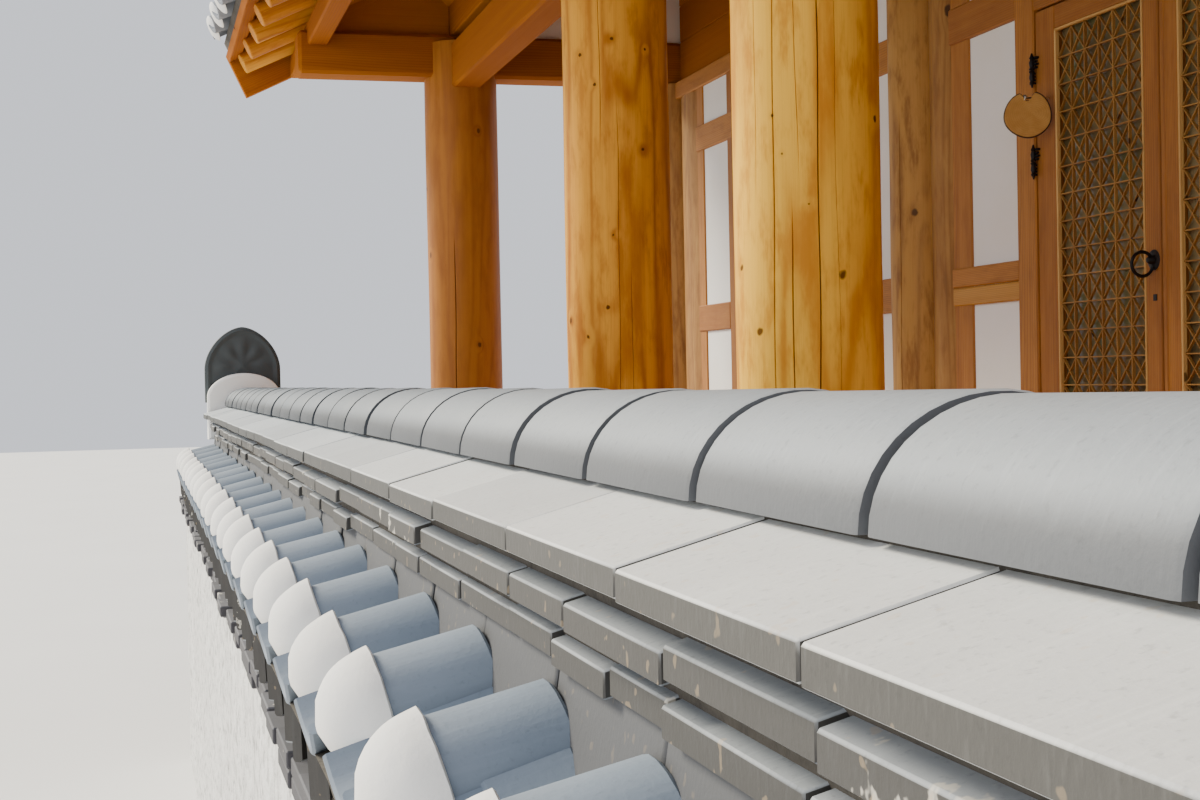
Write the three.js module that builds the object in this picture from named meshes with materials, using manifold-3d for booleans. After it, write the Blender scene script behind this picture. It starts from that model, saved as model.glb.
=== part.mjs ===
// A hanok house: a timber frame on a stone platform, with an open gallery, plaster and lattice walls,
// a tiled gable roof, and the low tile-capped wall that stands along the front at the edge of the eaves.
// Millimetres, +Z up, the front looks along -Y. The origin is on the ground, in the middle of the house,
// under the row of front columns.
import * as THREE from "three";
import { mergeVertices } from "three/addons/utils/BufferGeometryUtils.js";
import Module from "manifold-3d";

const wasm = await Module();
wasm.setup();

// Clearance that a cut piece keeps to its neighbour, and between a moving leaf and its frame
const SEAT = 0.3;
const RUNNING_GAP = 5;
// How far fused pieces reach into each other
const OVERLAP = 10;
// A distance past the whole house, for cutting bodies
const FAR = 6000;

// Heights above the ground
const PLATFORM_TOP = 450;
const PAD_TOP = 505;
const FLOOR_TOP = 850;
const SILL_TOP = 1000;
const MID_RAIL = [1748, 1863];
const UPPER_RAIL = [2550, 2660];
const PLATE = [2830, 2906.7];
const CROSS_BEAM = [2907, 3095];
const TIE_BEAM = [2850, 3050];
const COLUMN_HEAD = 3060;

// Plan: rows of columns along X, and the lines of the walls along Y
const END_COLUMN_X = 3990;
const INNER_LEFT_X = -1500;
const INNER_RIGHT_X = 1800;
const WALL_COLUMN_X = [-END_COLUMN_X, INNER_LEFT_X, INNER_RIGHT_X, END_COLUMN_X];
const FRONT_COLUMN_X = [-END_COLUMN_X, INNER_LEFT_X, 0, INNER_RIGHT_X, END_COLUMN_X];
const WALL_FACE_Y = 990;
const WALL_THICK = 120;
const WALL_Y = WALL_FACE_Y + WALL_THICK / 2;
const REAR_Y = 3600;
const RIDGE_Y = REAR_Y / 2;
const FRONT_COLUMN_R = 165;
const WALL_COLUMN_R = 120;
const PLASTER_THICK = 96;
const GROOVE = 20;

// Roof
const ROOF_PITCH = THREE.MathUtils.degToRad(25);
const EAVE_PURLIN = { inner: 600, outer: 690, bottom: 3030, top: 3130 };
const BEAM_REACH = 730;
const RAFTER_REACH = 900;
const TILE_REACH = 975;
const RAFTER_R = 55;
const RAFTER_SPACING = 358;
const RAFTERS = 27;
const PURLIN_R = 110;
const GABLE_REACH = 750;
const SHEATHING = 25;
const ROOF_BED = 90;
const ROOF_TILE_R = 75;
const ROOF_TILE_PITCH = 295;

// Low front wall with its tiled coping
const LOW_WALL = { left: -3680, right: 4300, centreY: -1014, thick: 500, top: 1060 };
const COPING = { core: 115, drip: 290, bedTop: 1240, dripTop: 1201, bevel: 25, plateBottom: 1330 };
const COPING_TILE_R = 73;
const COPING_TILE_PITCH = 283;
const COPING_TILE_PHASE = 0.66;
// Each layer of plates has an upright edge, and slopes up from it to where the next layer rests
const PLATE_LAYERS = [
  { half: 128, height: 46, rest: 60 },
  { half: 146, height: 44, rest: 75 },
  { half: 168, height: 46, rest: 85 },
];
const PLATE_EDGE = 18;
const RIDGE_TILE = { half: 85, height: 75 };

const COLOURS = {
  column: [0xd99a4a, 0.55],
  beam: [0xc98342, 0.6],
  boards: [0xc07c3e, 0.65],
  plaster: [0xe9e6e0, 0.9],
  stone: [0xb9b4aa, 0.85],
  tile: [0x868c93, 0.7],
  lime: [0xf1efea, 0.9],
  iron: [0x1c1b1b, 0.5],
  glass: [0x9fb0a6, 0.1],
  endTile: [0x2b2b2d, 0.8],
};

function material(kind) {
  const [color, roughness] = COLOURS[kind];
  const metalness = kind === "iron" ? 0.8 : 0;
  return new THREE.MeshStandardMaterial({ color, roughness, metalness });
}

// A closed geometry as a solid that can be joined and cut
function solid(geometry) {
  const plain = geometry.index ? geometry.toNonIndexed() : geometry.clone();
  plain.deleteAttribute("normal");
  plain.deleteAttribute("uv");
  const merged = mergeVertices(plain, 1e-3);
  return new wasm.Manifold(
    new wasm.Mesh({
      numProp: 3,
      vertProperties: merged.attributes.position.array,
      triVerts: new Uint32Array(merged.index.array),
    }),
  );
}

function geometryOf(body) {
  const mesh = body.getMesh();
  const geometry = new THREE.BufferGeometry();
  geometry.setAttribute("position", new THREE.BufferAttribute(new Float32Array(mesh.vertProperties), 3));
  geometry.setIndex(new THREE.BufferAttribute(new Uint32Array(mesh.triVerts), 1));
  const flat = geometry.toNonIndexed();
  flat.computeVertexNormals();
  return flat;
}

function box(x0, x1, y0, y1, z0, z1) {
  const geometry = new THREE.BoxGeometry(x1 - x0, y1 - y0, z1 - z0);
  geometry.translate((x0 + x1) / 2, (y0 + y1) / 2, (z0 + z1) / 2);
  return solid(geometry);
}

function upright(x, y, radius, z0, z1, sides = 20) {
  const geometry = new THREE.CylinderGeometry(radius, radius, z1 - z0, sides);
  geometry.rotateX(Math.PI / 2);
  geometry.translate(x, y, (z0 + z1) / 2);
  return solid(geometry);
}

// A bar along X with a round section
function roundBar(x0, x1, y, z, radius, sides = 16) {
  const geometry = new THREE.CylinderGeometry(radius, radius, x1 - x0, sides);
  geometry.rotateZ(Math.PI / 2);
  geometry.translate((x0 + x1) / 2, y, z);
  return solid(geometry);
}

// An outline of [y, z] points carried along X
function alongX(points, x0, x1) {
  const shape = new THREE.Shape(points.map(([y, z]) => new THREE.Vector2(y, z)));
  const geometry = new THREE.ExtrudeGeometry(shape, { depth: x1 - x0, bevelEnabled: false });
  const turn = new THREE.Matrix4().makeBasis(
    new THREE.Vector3(0, 1, 0),
    new THREE.Vector3(0, 0, 1),
    new THREE.Vector3(1, 0, 0),
  );
  geometry.applyMatrix4(turn);
  geometry.translate(x0, 0, 0);
  return solid(geometry);
}

const join = (bodies) => bodies.reduce((all, body) => all.add(body));
const cut = (body, cutters) => cutters.reduce((left, cutter) => left.subtract(cutter), body);

const house = new THREE.Group();

function add(name, body, kind, group = house) {
  const mesh = new THREE.Mesh(geometryOf(body), material(kind));
  mesh.name = name;
  group.add(mesh);
  return mesh;
}

// Stone platform with a low pad under each front column. Its front edge meets the low wall.
const lowWallInnerY = LOW_WALL.centreY + LOW_WALL.thick / 2;
const PLATFORM_END_X = 4690;
const PLATFORM_REAR_Y = 4400;
const PAD_HALF = 240;
add(
  "stone_platform",
  join([
    box(-PLATFORM_END_X, PLATFORM_END_X, lowWallInnerY, PLATFORM_REAR_Y, 0, PLATFORM_TOP),
    ...FRONT_COLUMN_X.map((x) =>
      box(x - PAD_HALF, x + PAD_HALF, -PAD_HALF, PAD_HALF, PLATFORM_TOP - OVERLAP, PAD_TOP),
    ),
  ]),
  "stone",
);

// Cross beams carry the eave purlins in notches at their ends; the inner two carry king posts.
const BEAM_HALF = 85;
const KING_HALF = 75;
const tan = Math.tan(ROOF_PITCH);
const cos = Math.cos(ROOF_PITCH);
// Underside of the rafters, from the outer edge of the eave purlin up to the ridge line
const rafterUnderZ = (y) => EAVE_PURLIN.top + SEAT + (y + EAVE_PURLIN.outer) * tan;
const purlinZ = (y) => rafterUnderZ(y) - (PURLIN_R + SEAT) / cos;
const ROOF_END_X = END_COLUMN_X + GABLE_REACH;
const PURLIN_END_X = ROOF_END_X - 3;
const eavePurlins = {
  front: [-EAVE_PURLIN.outer, -EAVE_PURLIN.inner],
  rear: [REAR_Y + EAVE_PURLIN.inner, REAR_Y + EAVE_PURLIN.outer],
};
const purlinSlots = Object.values(eavePurlins).map(([y0, y1]) =>
  box(-ROOF_END_X, ROOF_END_X, y0 - SEAT, y1 + SEAT, EAVE_PURLIN.bottom - SEAT, EAVE_PURLIN.top + 100),
);
function crossBeam(x, grow = 0) {
  return box(
    x - BEAM_HALF - grow,
    x + BEAM_HALF + grow,
    -BEAM_REACH - grow,
    REAR_Y + BEAM_REACH + grow,
    CROSS_BEAM[0] - grow,
    CROSS_BEAM[1] + grow,
  );
}
// Purlins over the column lines rest on squared support boards
const BOARD_HALF = 50;
const gableFootFront = BOARD_HALF + SEAT;
const purlinHoles = [
  roundBar(-FAR, FAR, 0, purlinZ(0), PURLIN_R + SEAT),
  roundBar(-FAR, FAR, REAR_Y, purlinZ(0), PURLIN_R + SEAT),
  roundBar(-FAR, FAR, RIDGE_Y, purlinZ(RIDGE_Y), PURLIN_R + SEAT),
  box(-FAR, FAR, RIDGE_Y - PURLIN_R - SEAT, RIDGE_Y + PURLIN_R + SEAT, purlinZ(RIDGE_Y), FAR),
];
// A board over the outer part of an end beam closes the gable in front of the plaster
const END_BOARD_HALF = 30;
const UNDER_RAFTERS = 1;
function endBoard(x, turn) {
  const [y0, y1] = [SEAT - EAVE_PURLIN.inner, -gableFootFront];
  const foot = CROSS_BEAM[1] - OVERLAP;
  const outline = [
    [turn(y0), foot],
    [turn(y1), foot],
    [turn(y1), rafterUnderZ(y1) - UNDER_RAFTERS],
    [turn(y0), rafterUnderZ(y0) - UNDER_RAFTERS],
  ];
  return cut(alongX(outline, x - END_BOARD_HALF, x + END_BOARD_HALF), purlinHoles);
}
WALL_COLUMN_X.forEach((x, i) => {
  let beam = cut(crossBeam(x), purlinSlots);
  if (Math.abs(x) === END_COLUMN_X) {
    beam = join([beam, endBoard(x, (y) => y), endBoard(x, (y) => REAR_Y - y)]);
  } else {
    const kingTop = purlinZ(RIDGE_Y) - PURLIN_R - SEAT;
    beam = beam.add(
      box(
        x - KING_HALF,
        x + KING_HALF,
        RIDGE_Y - KING_HALF,
        RIDGE_Y + KING_HALF,
        CROSS_BEAM[1] - OVERLAP,
        kingTop,
      ),
    );
  }
  add("cross_beam_" + (i + 1), beam, "beam");
});
for (const [side, [y0, y1]] of Object.entries(eavePurlins)) {
  const purlin = box(-PURLIN_END_X, PURLIN_END_X, y0, y1, EAVE_PURLIN.bottom, EAVE_PURLIN.top);
  add(side + "_eave_purlin", purlin, "beam");
}

// Tie beam through the heads of the front columns, lapped under the cross beams
const TIE_HALF = 65;
const TIE_END_X = END_COLUMN_X + 250;
const tieShape = (grow) =>
  box(
    -TIE_END_X - grow,
    TIE_END_X + grow,
    -TIE_HALF - grow,
    TIE_HALF + grow,
    TIE_BEAM[0] - grow,
    TIE_BEAM[1] + grow,
  );
const beamLaps = WALL_COLUMN_X.map((x) => crossBeam(x, SEAT));
add("front_tie_beam", cut(tieShape(0), beamLaps), "beam");
FRONT_COLUMN_X.forEach((x, i) => {
  const column = upright(x, 0, FRONT_COLUMN_R, PAD_TOP, COLUMN_HEAD);
  add("front_column_" + (i + 1), cut(column, [tieShape(SEAT), ...beamLaps]), "column");
});

// Purlins over the column lines, each a round log fused with its support board, and the ridge purlin
for (const [side, y] of [["front", 0], ["rear", REAR_Y]]) {
  const z = purlinZ(Math.min(y, REAR_Y - y));
  const log = roundBar(-PURLIN_END_X, PURLIN_END_X, y, z, PURLIN_R);
  const board = box(-PURLIN_END_X, PURLIN_END_X, y - BOARD_HALF, y + BOARD_HALF, CROSS_BEAM[1], z);
  add(side + "_purlin", log.add(board), "beam");
}
const ridgeLog = roundBar(-PURLIN_END_X, PURLIN_END_X, RIDGE_Y, purlinZ(RIDGE_Y), PURLIN_R);
add("ridge_purlin", ridgeLog, "beam");

// Room floor: a solid heated floor on the platform.
// Gallery floor: boards on joists and on beams between the columns.
const wallColumns = WALL_COLUMN_X.map((x) => [x, WALL_Y]);
const rearColumns = WALL_COLUMN_X.map((x) => [x, REAR_Y]);
const columnHole = ([x, y], radius) => upright(x, y, radius + SEAT, PLATFORM_TOP - 50, COLUMN_HEAD + 50);
const FLOOR_EDGE = 70;
const roomFront = WALL_FACE_Y - 10;
add(
  "room_floor",
  cut(
    box(
      -END_COLUMN_X - FLOOR_EDGE,
      END_COLUMN_X + FLOOR_EDGE,
      roomFront,
      REAR_Y + FLOOR_EDGE,
      PLATFORM_TOP,
      FLOOR_TOP,
    ),
    [...wallColumns, ...rearColumns].map((at) => columnHole(at, WALL_COLUMN_R)),
  ),
  "plaster",
);
const BOARD_THICK = 50;
const GALLERY_EDGE_Y = -110;
const floorUnder = FLOOR_TOP - BOARD_THICK;
const JOIST = { half: 45, depth: 120, spacing: 600, count: 14 };
const FLOOR_BEAM = { depth: 160, front: [-70, 70], rear: [785, 885], bite: 5 };
const beamTop = floorUnder + FLOOR_BEAM.bite;
const beamUnder = floorUnder - FLOOR_BEAM.depth;
const floorBeam = ([y0, y1]) => box(-END_COLUMN_X, END_COLUMN_X, y0, y1, beamUnder, beamTop);
const floorEndX = END_COLUMN_X + FLOOR_EDGE;
const galleryParts = [
  box(-floorEndX, floorEndX, GALLERY_EDGE_Y, roomFront - SEAT, floorUnder, FLOOR_TOP),
  floorBeam(FLOOR_BEAM.front),
  floorBeam(FLOOR_BEAM.rear),
];
const joistFrom = FLOOR_BEAM.front[1] - FLOOR_BEAM.bite;
const joistTo = FLOOR_BEAM.rear[0] + FLOOR_BEAM.bite;
for (let i = 0; i < JOIST.count; i++) {
  const x = (i - (JOIST.count - 1) / 2) * JOIST.spacing;
  const [z0, z1] = [floorUnder - JOIST.depth, beamTop];
  galleryParts.push(box(x - JOIST.half, x + JOIST.half, joistFrom, joistTo, z0, z1));
}
add(
  "gallery_floor",
  cut(join(galleryParts), [
    ...FRONT_COLUMN_X.map((x) => columnHole([x, 0], FRONT_COLUMN_R)),
    ...wallColumns.map((at) => columnHole(at, WALL_COLUMN_R)),
  ]),
  "boards",
);

// Wall columns on the gallery side
wallColumns.forEach(([x, y], i) => {
  add("wall_column_" + (i + 1), upright(x, y, WALL_COLUMN_R, PLATFORM_TOP, PLATE[1]), "column");
});

// Timber framing of one stretch of wall: studs and rails fused, with a groove that holds the plaster.
// along is "x" or "y"; centre is the wall's centre line on the other axis.
function wallBar(along, centre, a0, a1, z0, z1, thick = WALL_THICK) {
  const c0 = centre - thick / 2;
  const c1 = centre + thick / 2;
  return along === "x" ? box(a0, a1, c0, c1, z0, z1) : box(c0, c1, a0, a1, z0, z1);
}
function framing(along, centre, a0, a1, studs, rails) {
  return join([
    ...studs.map(([s0, s1]) => wallBar(along, centre, s0, s1, FLOOR_TOP, PLATE[1])),
    wallBar(along, centre, a0, a1, FLOOR_TOP, SILL_TOP),
    wallBar(along, centre, a0, a1, ...UPPER_RAIL),
    wallBar(along, centre, a0, a1, ...PLATE),
    ...rails.map(([r0, r1, z0, z1]) => wallBar(along, centre, r0, r1, z0, z1)),
  ]);
}
function plasterIn(along, centre, a0, a1, holes = [], grow = 0) {
  const slab = wallBar(
    along,
    centre,
    a0 - GROOVE - grow,
    a1 + GROOVE + grow,
    SILL_TOP - GROOVE - grow,
    PLATE[0] + GROOVE + grow,
    PLASTER_THICK + 2 * grow,
  );
  return cut(slab, holes);
}

// Outer bays of the front: a window between studs
const COLUMN_SIDE = WALL_COLUMN_R + SEAT;
const POST = 280;
const JAMB = 102;
const EDGE_STRIP = 20;
const BAY_STUDS = {
  left: [
    [-END_COLUMN_X + COLUMN_SIDE, -3533],
    [-3212, -3212 + JAMB],
    [-2015, -2015 + JAMB],
    [INNER_LEFT_X - COLUMN_SIDE - EDGE_STRIP, INNER_LEFT_X - COLUMN_SIDE],
  ],
  right: [
    [INNER_RIGHT_X + COLUMN_SIDE, INNER_RIGHT_X + COLUMN_SIDE + EDGE_STRIP],
    [2213, 2213 + JAMB],
    [3110, 3110 + JAMB],
    [3533, END_COLUMN_X - COLUMN_SIDE],
  ],
};
const WINDOW_SILL = [1250, 1340];
const WINDOW_FRAME = 60;
const WINDOW_THICK = 40;
const LATTICE_BAR = 14;
const WINDOW_ROWS = 8;
const UPRIGHT_STEP = 65;
// Depths behind a window's face of its lattice bars and of the paper behind them
const WINDOW_BARS = [5, 32];
const WINDOW_PAPER = [28, 36];
for (const [side, studs] of Object.entries(BAY_STUDS)) {
  const [first, second, third, last] = studs;
  const timber = framing("x", WALL_Y, first[0], last[1], studs, [
    [first[0], second[1], ...MID_RAIL],
    [third[0], last[1], ...MID_RAIL],
    [second[0], third[1], ...WINDOW_SILL],
  ]);
  const holeAt = (grow) => [
    wallBar(
      "x",
      WALL_Y,
      (second[0] + second[1]) / 2 + grow,
      (third[0] + third[1]) / 2 - grow,
      (WINDOW_SILL[0] + WINDOW_SILL[1]) / 2 + grow,
      (UPPER_RAIL[0] + UPPER_RAIL[1]) / 2 - grow,
    ),
  ];
  const groove = plasterIn("x", WALL_Y, first[1], last[0], holeAt(SEAT), SEAT);
  add(side + "_bay_frame", timber.subtract(groove), "beam");
  add(side + "_bay_plaster", plasterIn("x", WALL_Y, first[1], last[0], holeAt(0)), "plaster");

  const [x0, x1] = [second[1] + 2, third[0] - 2];
  const [z0, z1] = [WINDOW_SILL[1], UPPER_RAIL[0] - 2];
  const y0 = WALL_FACE_Y + 5;
  const y1 = y0 + WINDOW_THICK;
  const middle = (x0 + x1) / 2;
  const bars = [
    box(x0, x0 + WINDOW_FRAME, y0, y1, z0, z1),
    box(x1 - WINDOW_FRAME, x1, y0, y1, z0, z1),
    box(middle - WINDOW_FRAME, middle + WINDOW_FRAME, y0, y1, z0, z1),
    box(x0, x1, y0, y1, z0, z0 + WINDOW_FRAME),
    box(x0, x1, y0, y1, z1 - WINDOW_FRAME, z1),
    box(x0 + OVERLAP, x1 - OVERLAP, ...WINDOW_PAPER.map((y) => y0 + y), z0 + OVERLAP, z1 - OVERLAP),
  ];
  const barY = WINDOW_BARS.map((y) => y0 + y);
  for (let i = 1; i < WINDOW_ROWS; i++) {
    const z = z0 + ((z1 - z0) * i) / WINDOW_ROWS;
    bars.push(box(x0 + OVERLAP, x1 - OVERLAP, ...barY, z - LATTICE_BAR / 2, z + LATTICE_BAR / 2));
  }
  for (const leafMiddle of [(x0 + middle) / 2, (x1 + middle) / 2]) {
    for (const step of [-UPRIGHT_STEP, UPRIGHT_STEP]) {
      const x = leafMiddle + step;
      bars.push(box(x - LATTICE_BAR / 2, x + LATTICE_BAR / 2, ...barY, z0 + OVERLAP, z1 - OVERLAP));
    }
  }
  add(side + "_bay_window", join(bars), "boards");
}

// Centre bay: framing on both sides of the doorway, the threshold and the head over it
const DOOR = { left: -713, right: 455, top: UPPER_RAIL[0] };
// Hinges: a knuckle on the jamb carries the leaf's own knuckle above it, on one vertical line.
const HINGE = { inset: 2.5, proud: 9, radius: 8, height: 42, plate: 24, levels: [1200, 2128, 2383] };
function knuckles(x, toward, from) {
  return HINGE.levels.map((z) => {
    const y = WALL_FACE_Y - HINGE.proud;
    const z0 = z + from;
    const [p0, p1] = toward > 0 ? [x, x + HINGE.plate] : [x - HINGE.plate, x];
    const plate = box(p0, p1, y + 1, WALL_FACE_Y + (from < 0 ? 1 : 4), z0, z0 + HINGE.height);
    return upright(x, y, HINGE.radius, z0, z0 + HINGE.height, 10).add(plate);
  });
}
const leftStuds = [
  [INNER_LEFT_X + COLUMN_SIDE, INNER_LEFT_X + COLUMN_SIDE + POST],
  [DOOR.left - JAMB, DOOR.left],
];
const rightStuds = [
  [DOOR.right, DOOR.right + JAMB],
  [INNER_RIGHT_X - COLUMN_SIDE - POST, INNER_RIGHT_X - COLUMN_SIDE],
];
for (const [side, studs] of [["left", leftStuds], ["right", rightStuds]]) {
  const [outer, inner] = studs;
  const timber = framing("x", WALL_Y, outer[0], inner[1], studs, [[outer[0], inner[1], ...MID_RAIL]]);
  const hingeX = side === "left" ? DOOR.left + HINGE.inset : DOOR.right - HINGE.inset;
  const jambKnuckles = knuckles(hingeX, side === "left" ? -1 : 1, -HINGE.height);
  const framed = timber.subtract(plasterIn("x", WALL_Y, outer[1], inner[0], [], SEAT));
  add("centre_frame_" + side, join([framed, ...jambKnuckles]), "beam");
  add("centre_plaster_" + side, plasterIn("x", WALL_Y, outer[1], inner[0]), "plaster");
}
add("door_threshold", wallBar("x", WALL_Y, DOOR.left, DOOR.right, FLOOR_TOP, SILL_TOP), "beam");
add(
  "door_head",
  join([
    wallBar("x", WALL_Y, DOOR.left, DOOR.right, ...UPPER_RAIL),
    wallBar("x", WALL_Y, DOOR.left, DOOR.right, ...PLATE),
    wallBar("x", WALL_Y, DOOR.left, DOOR.right, UPPER_RAIL[1] - 5, PLATE[0] + 5, PLASTER_THICK),
  ]),
  "beam",
);

// Board wall over the plate of the front wall, from end beam to end beam and up to the rafters
const UPPER_WALL_HALF = 30;
const upperWallEndX = END_COLUMN_X - BEAM_HALF - SEAT;
const upperWall = box(
  -upperWallEndX,
  upperWallEndX,
  WALL_Y - UPPER_WALL_HALF,
  WALL_Y + UPPER_WALL_HALF,
  PLATE[1] + SEAT,
  rafterUnderZ(WALL_Y - UPPER_WALL_HALF) - UNDER_RAFTERS,
);
add("front_upper_wall", cut(upperWall, beamLaps), "boards");

// Side walls, and the rear wall with its columns
const SIDE_POST = 130;
const SIDE_MIDDLE_Y = 2220;
const SIDE_STUDS = [
  [WALL_Y + COLUMN_SIDE, WALL_Y + COLUMN_SIDE + SIDE_POST],
  [SIDE_MIDDLE_Y - SIDE_POST / 2, SIDE_MIDDLE_Y + SIDE_POST / 2],
  [REAR_Y - COLUMN_SIDE - SIDE_POST, REAR_Y - COLUMN_SIDE],
];
for (const [side, x] of [["left", -END_COLUMN_X], ["right", END_COLUMN_X]]) {
  const from = SIDE_STUDS[0][0];
  const to = SIDE_STUDS[2][1];
  const timber = framing("y", x, from, to, SIDE_STUDS, [[from, to, ...MID_RAIL]]);
  const [a0, a1] = [SIDE_STUDS[0][1], SIDE_STUDS[2][0]];
  add(side + "_wall_timbers", timber.subtract(plasterIn("y", x, a0, a1, [], SEAT)), "beam");
  add(side + "_wall_plaster", plasterIn("y", x, a0, a1), "plaster");
}
// The rear rails end inside the round corner columns
const REAR_RAIL_INSET = 100;
const rearEnd = END_COLUMN_X - REAR_RAIL_INSET;
const rearStuds = [-2700, -600, 600, 2700].map((x) => [x - JAMB / 2, x + JAMB / 2]);
const rearTimber = join([
  framing("x", REAR_Y, -rearEnd, rearEnd, rearStuds, [[-rearEnd, rearEnd, ...MID_RAIL]]),
  ...rearColumns.map(([x, y]) => upright(x, y, WALL_COLUMN_R, PLATFORM_TOP, PLATE[1])),
]);
const rearFill = rearEnd - OVERLAP;
const rearGroove = plasterIn("x", REAR_Y, -rearFill, rearFill, [], SEAT);
add("rear_wall_timbers", rearTimber.subtract(rearGroove), "beam");
add("rear_wall_plaster", plasterIn("x", REAR_Y, -rearFill, rearFill), "plaster");

// One roof slope, drawn in its own frame: x along the eave, s down the slope from the ridge line,
// n out of the slope from the underside of the rafters.
function slopeFrame(side, y, z, pitch) {
  const sign = side === "front" ? -1 : 1;
  const along = new THREE.Vector3(sign, 0, 0);
  const down = new THREE.Vector3(0, sign * Math.cos(pitch), -Math.sin(pitch));
  const out = new THREE.Vector3(0, sign * Math.sin(pitch), Math.cos(pitch));
  return new THREE.Matrix4().makeBasis(along, down, out).setPosition(0, y, z);
}
function onSlope(geometry, side) {
  return solid(geometry.applyMatrix4(slopeFrame(side, RIDGE_Y, rafterUnderZ(RIDGE_Y), ROOF_PITCH)));
}
// An outline of [x, n] points carried down the slope from s0 to s1
function downSlope(outline, s0, s1) {
  const shape = new THREE.Shape(outline.map(([x, n]) => new THREE.Vector2(x, n)));
  const geometry = new THREE.ExtrudeGeometry(shape, { depth: s1 - s0, bevelEnabled: false });
  geometry.rotateX(Math.PI / 2);
  geometry.translate(0, s1, 0);
  return geometry;
}
function slopeBox(side, x0, x1, s0, s1, n0, n1) {
  const geometry = new THREE.BoxGeometry(x1 - x0, s1 - s0, n1 - n0);
  geometry.translate((x0 + x1) / 2, (s0 + s1) / 2, (n0 + n1) / 2);
  return onSlope(geometry, side);
}
const rafterEnd = (RIDGE_Y + RAFTER_REACH) / cos;
const tileEnd = (RIDGE_Y + TILE_REACH) / cos;
const otherSide = {
  front: box(-FAR, FAR, RIDGE_Y - SEAT / 2, FAR * 2, 0, FAR * 2),
  rear: box(-FAR, FAR, -FAR * 2, RIDGE_Y + SEAT / 2, 0, FAR * 2),
};
const sheathingFrom = 2 * RAFTER_R - 3;
const bedFrom = sheathingFrom + SHEATHING + SEAT;
const BARGE = { thick: 45, below: -90, lap: 2 };
const EAVE_BOARD = { inner: 20, outer: 40, below: 15 };
// Slopes are drawn past the ridge line, and the other side cuts them off there
const PAST_RIDGE = 300;
const MAIN_RIDGE = { half: 130, bottom: 4560, wall: 300, crown: 90, crownHalf: 95 };
const TILE_OVERHANG = 30;
const ridgeReach = MAIN_RIDGE.half + SEAT;
const ridgeSlot = box(-FAR, FAR, RIDGE_Y - ridgeReach, RIDGE_Y + ridgeReach, MAIN_RIDGE.bottom - SEAT, FAR);
const sheathingTo = sheathingFrom + SHEATHING;
const eaveEnd = rafterEnd + EAVE_BOARD.outer;
const eaveBoard = [rafterEnd - EAVE_BOARD.inner, eaveEnd, sheathingFrom - EAVE_BOARD.below, sheathingTo];
const tileEndX = ROOF_END_X + TILE_OVERHANG;
for (const side of ["front", "rear"]) {
  const frame = [
    slopeBox(side, -ROOF_END_X, ROOF_END_X, -PAST_RIDGE, eaveEnd, sheathingFrom, sheathingTo),
    slopeBox(side, -ROOF_END_X, ROOF_END_X, ...eaveBoard),
  ];
  for (let i = 0; i < RAFTERS; i++) {
    const corner = RAFTER_R / Math.cos(Math.PI / 8);
    const geometry = new THREE.CylinderGeometry(corner, corner, rafterEnd + PAST_RIDGE, 8);
    geometry.rotateY(Math.PI / 8);
    geometry.translate((i - (RAFTERS - 1) / 2) * RAFTER_SPACING, (rafterEnd - PAST_RIDGE) / 2, RAFTER_R);
    frame.push(onSlope(geometry, side));
  }
  for (const end of [-ROOF_END_X - BARGE.thick + BARGE.lap, ROOF_END_X - BARGE.lap]) {
    frame.push(slopeBox(side, end, end + BARGE.thick, -PAST_RIDGE, eaveEnd, BARGE.below, sheathingTo));
  }
  add(side + "_rafters", join(frame).subtract(otherSide[side]), "beam");

  const outline = [[-tileEndX, bedFrom], [tileEndX, bedFrom], [tileEndX, bedFrom + ROOF_BED]];
  const rows = Math.floor((2 * tileEndX) / ROOF_TILE_PITCH);
  for (let i = rows - 1; i >= 0; i--) {
    const x = (i - (rows - 1) / 2) * ROOF_TILE_PITCH;
    for (let k = 0; k <= 5; k++) {
      const angle = (Math.PI * k) / 5;
      outline.push([x + ROOF_TILE_R * Math.cos(angle), bedFrom + ROOF_BED + ROOF_TILE_R * Math.sin(angle)]);
    }
  }
  outline.push([-tileEndX, bedFrom + ROOF_BED]);
  const tiles = onSlope(downSlope(outline, -PAST_RIDGE, tileEnd), side);
  add(side + "_roof_tiles", cut(tiles, [otherSide[side], ridgeSlot]), "tile");
}
const ridgeOutline = [];
for (let k = 0; k <= 8; k++) {
  const angle = (Math.PI * k) / 8;
  ridgeOutline.push([
    RIDGE_Y + MAIN_RIDGE.crownHalf * Math.cos(angle),
    MAIN_RIDGE.bottom + MAIN_RIDGE.wall + MAIN_RIDGE.crown * Math.sin(angle),
  ]);
}
ridgeOutline.push([RIDGE_Y - MAIN_RIDGE.half, MAIN_RIDGE.bottom]);
ridgeOutline.push([RIDGE_Y + MAIN_RIDGE.half, MAIN_RIDGE.bottom]);
add("main_ridge", alongX(ridgeOutline, -tileEndX, tileEndX), "tile");

// Gable walls between the end cross beams and the rafters, cut around the purlins
const GABLE_HALF = 50;
for (const [side, x] of [["left", -END_COLUMN_X], ["right", END_COLUMN_X]]) {
  const outline = [
    [gableFootFront, CROSS_BEAM[1]],
    [REAR_Y - gableFootFront, CROSS_BEAM[1]],
    [REAR_Y - gableFootFront, rafterUnderZ(gableFootFront) - UNDER_RAFTERS],
    [RIDGE_Y, rafterUnderZ(RIDGE_Y) - UNDER_RAFTERS],
    [gableFootFront, rafterUnderZ(gableFootFront) - UNDER_RAFTERS],
  ];
  add(side + "_gable", cut(alongX(outline, x - GABLE_HALF, x + GABLE_HALF), purlinHoles), "plaster");
}

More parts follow.
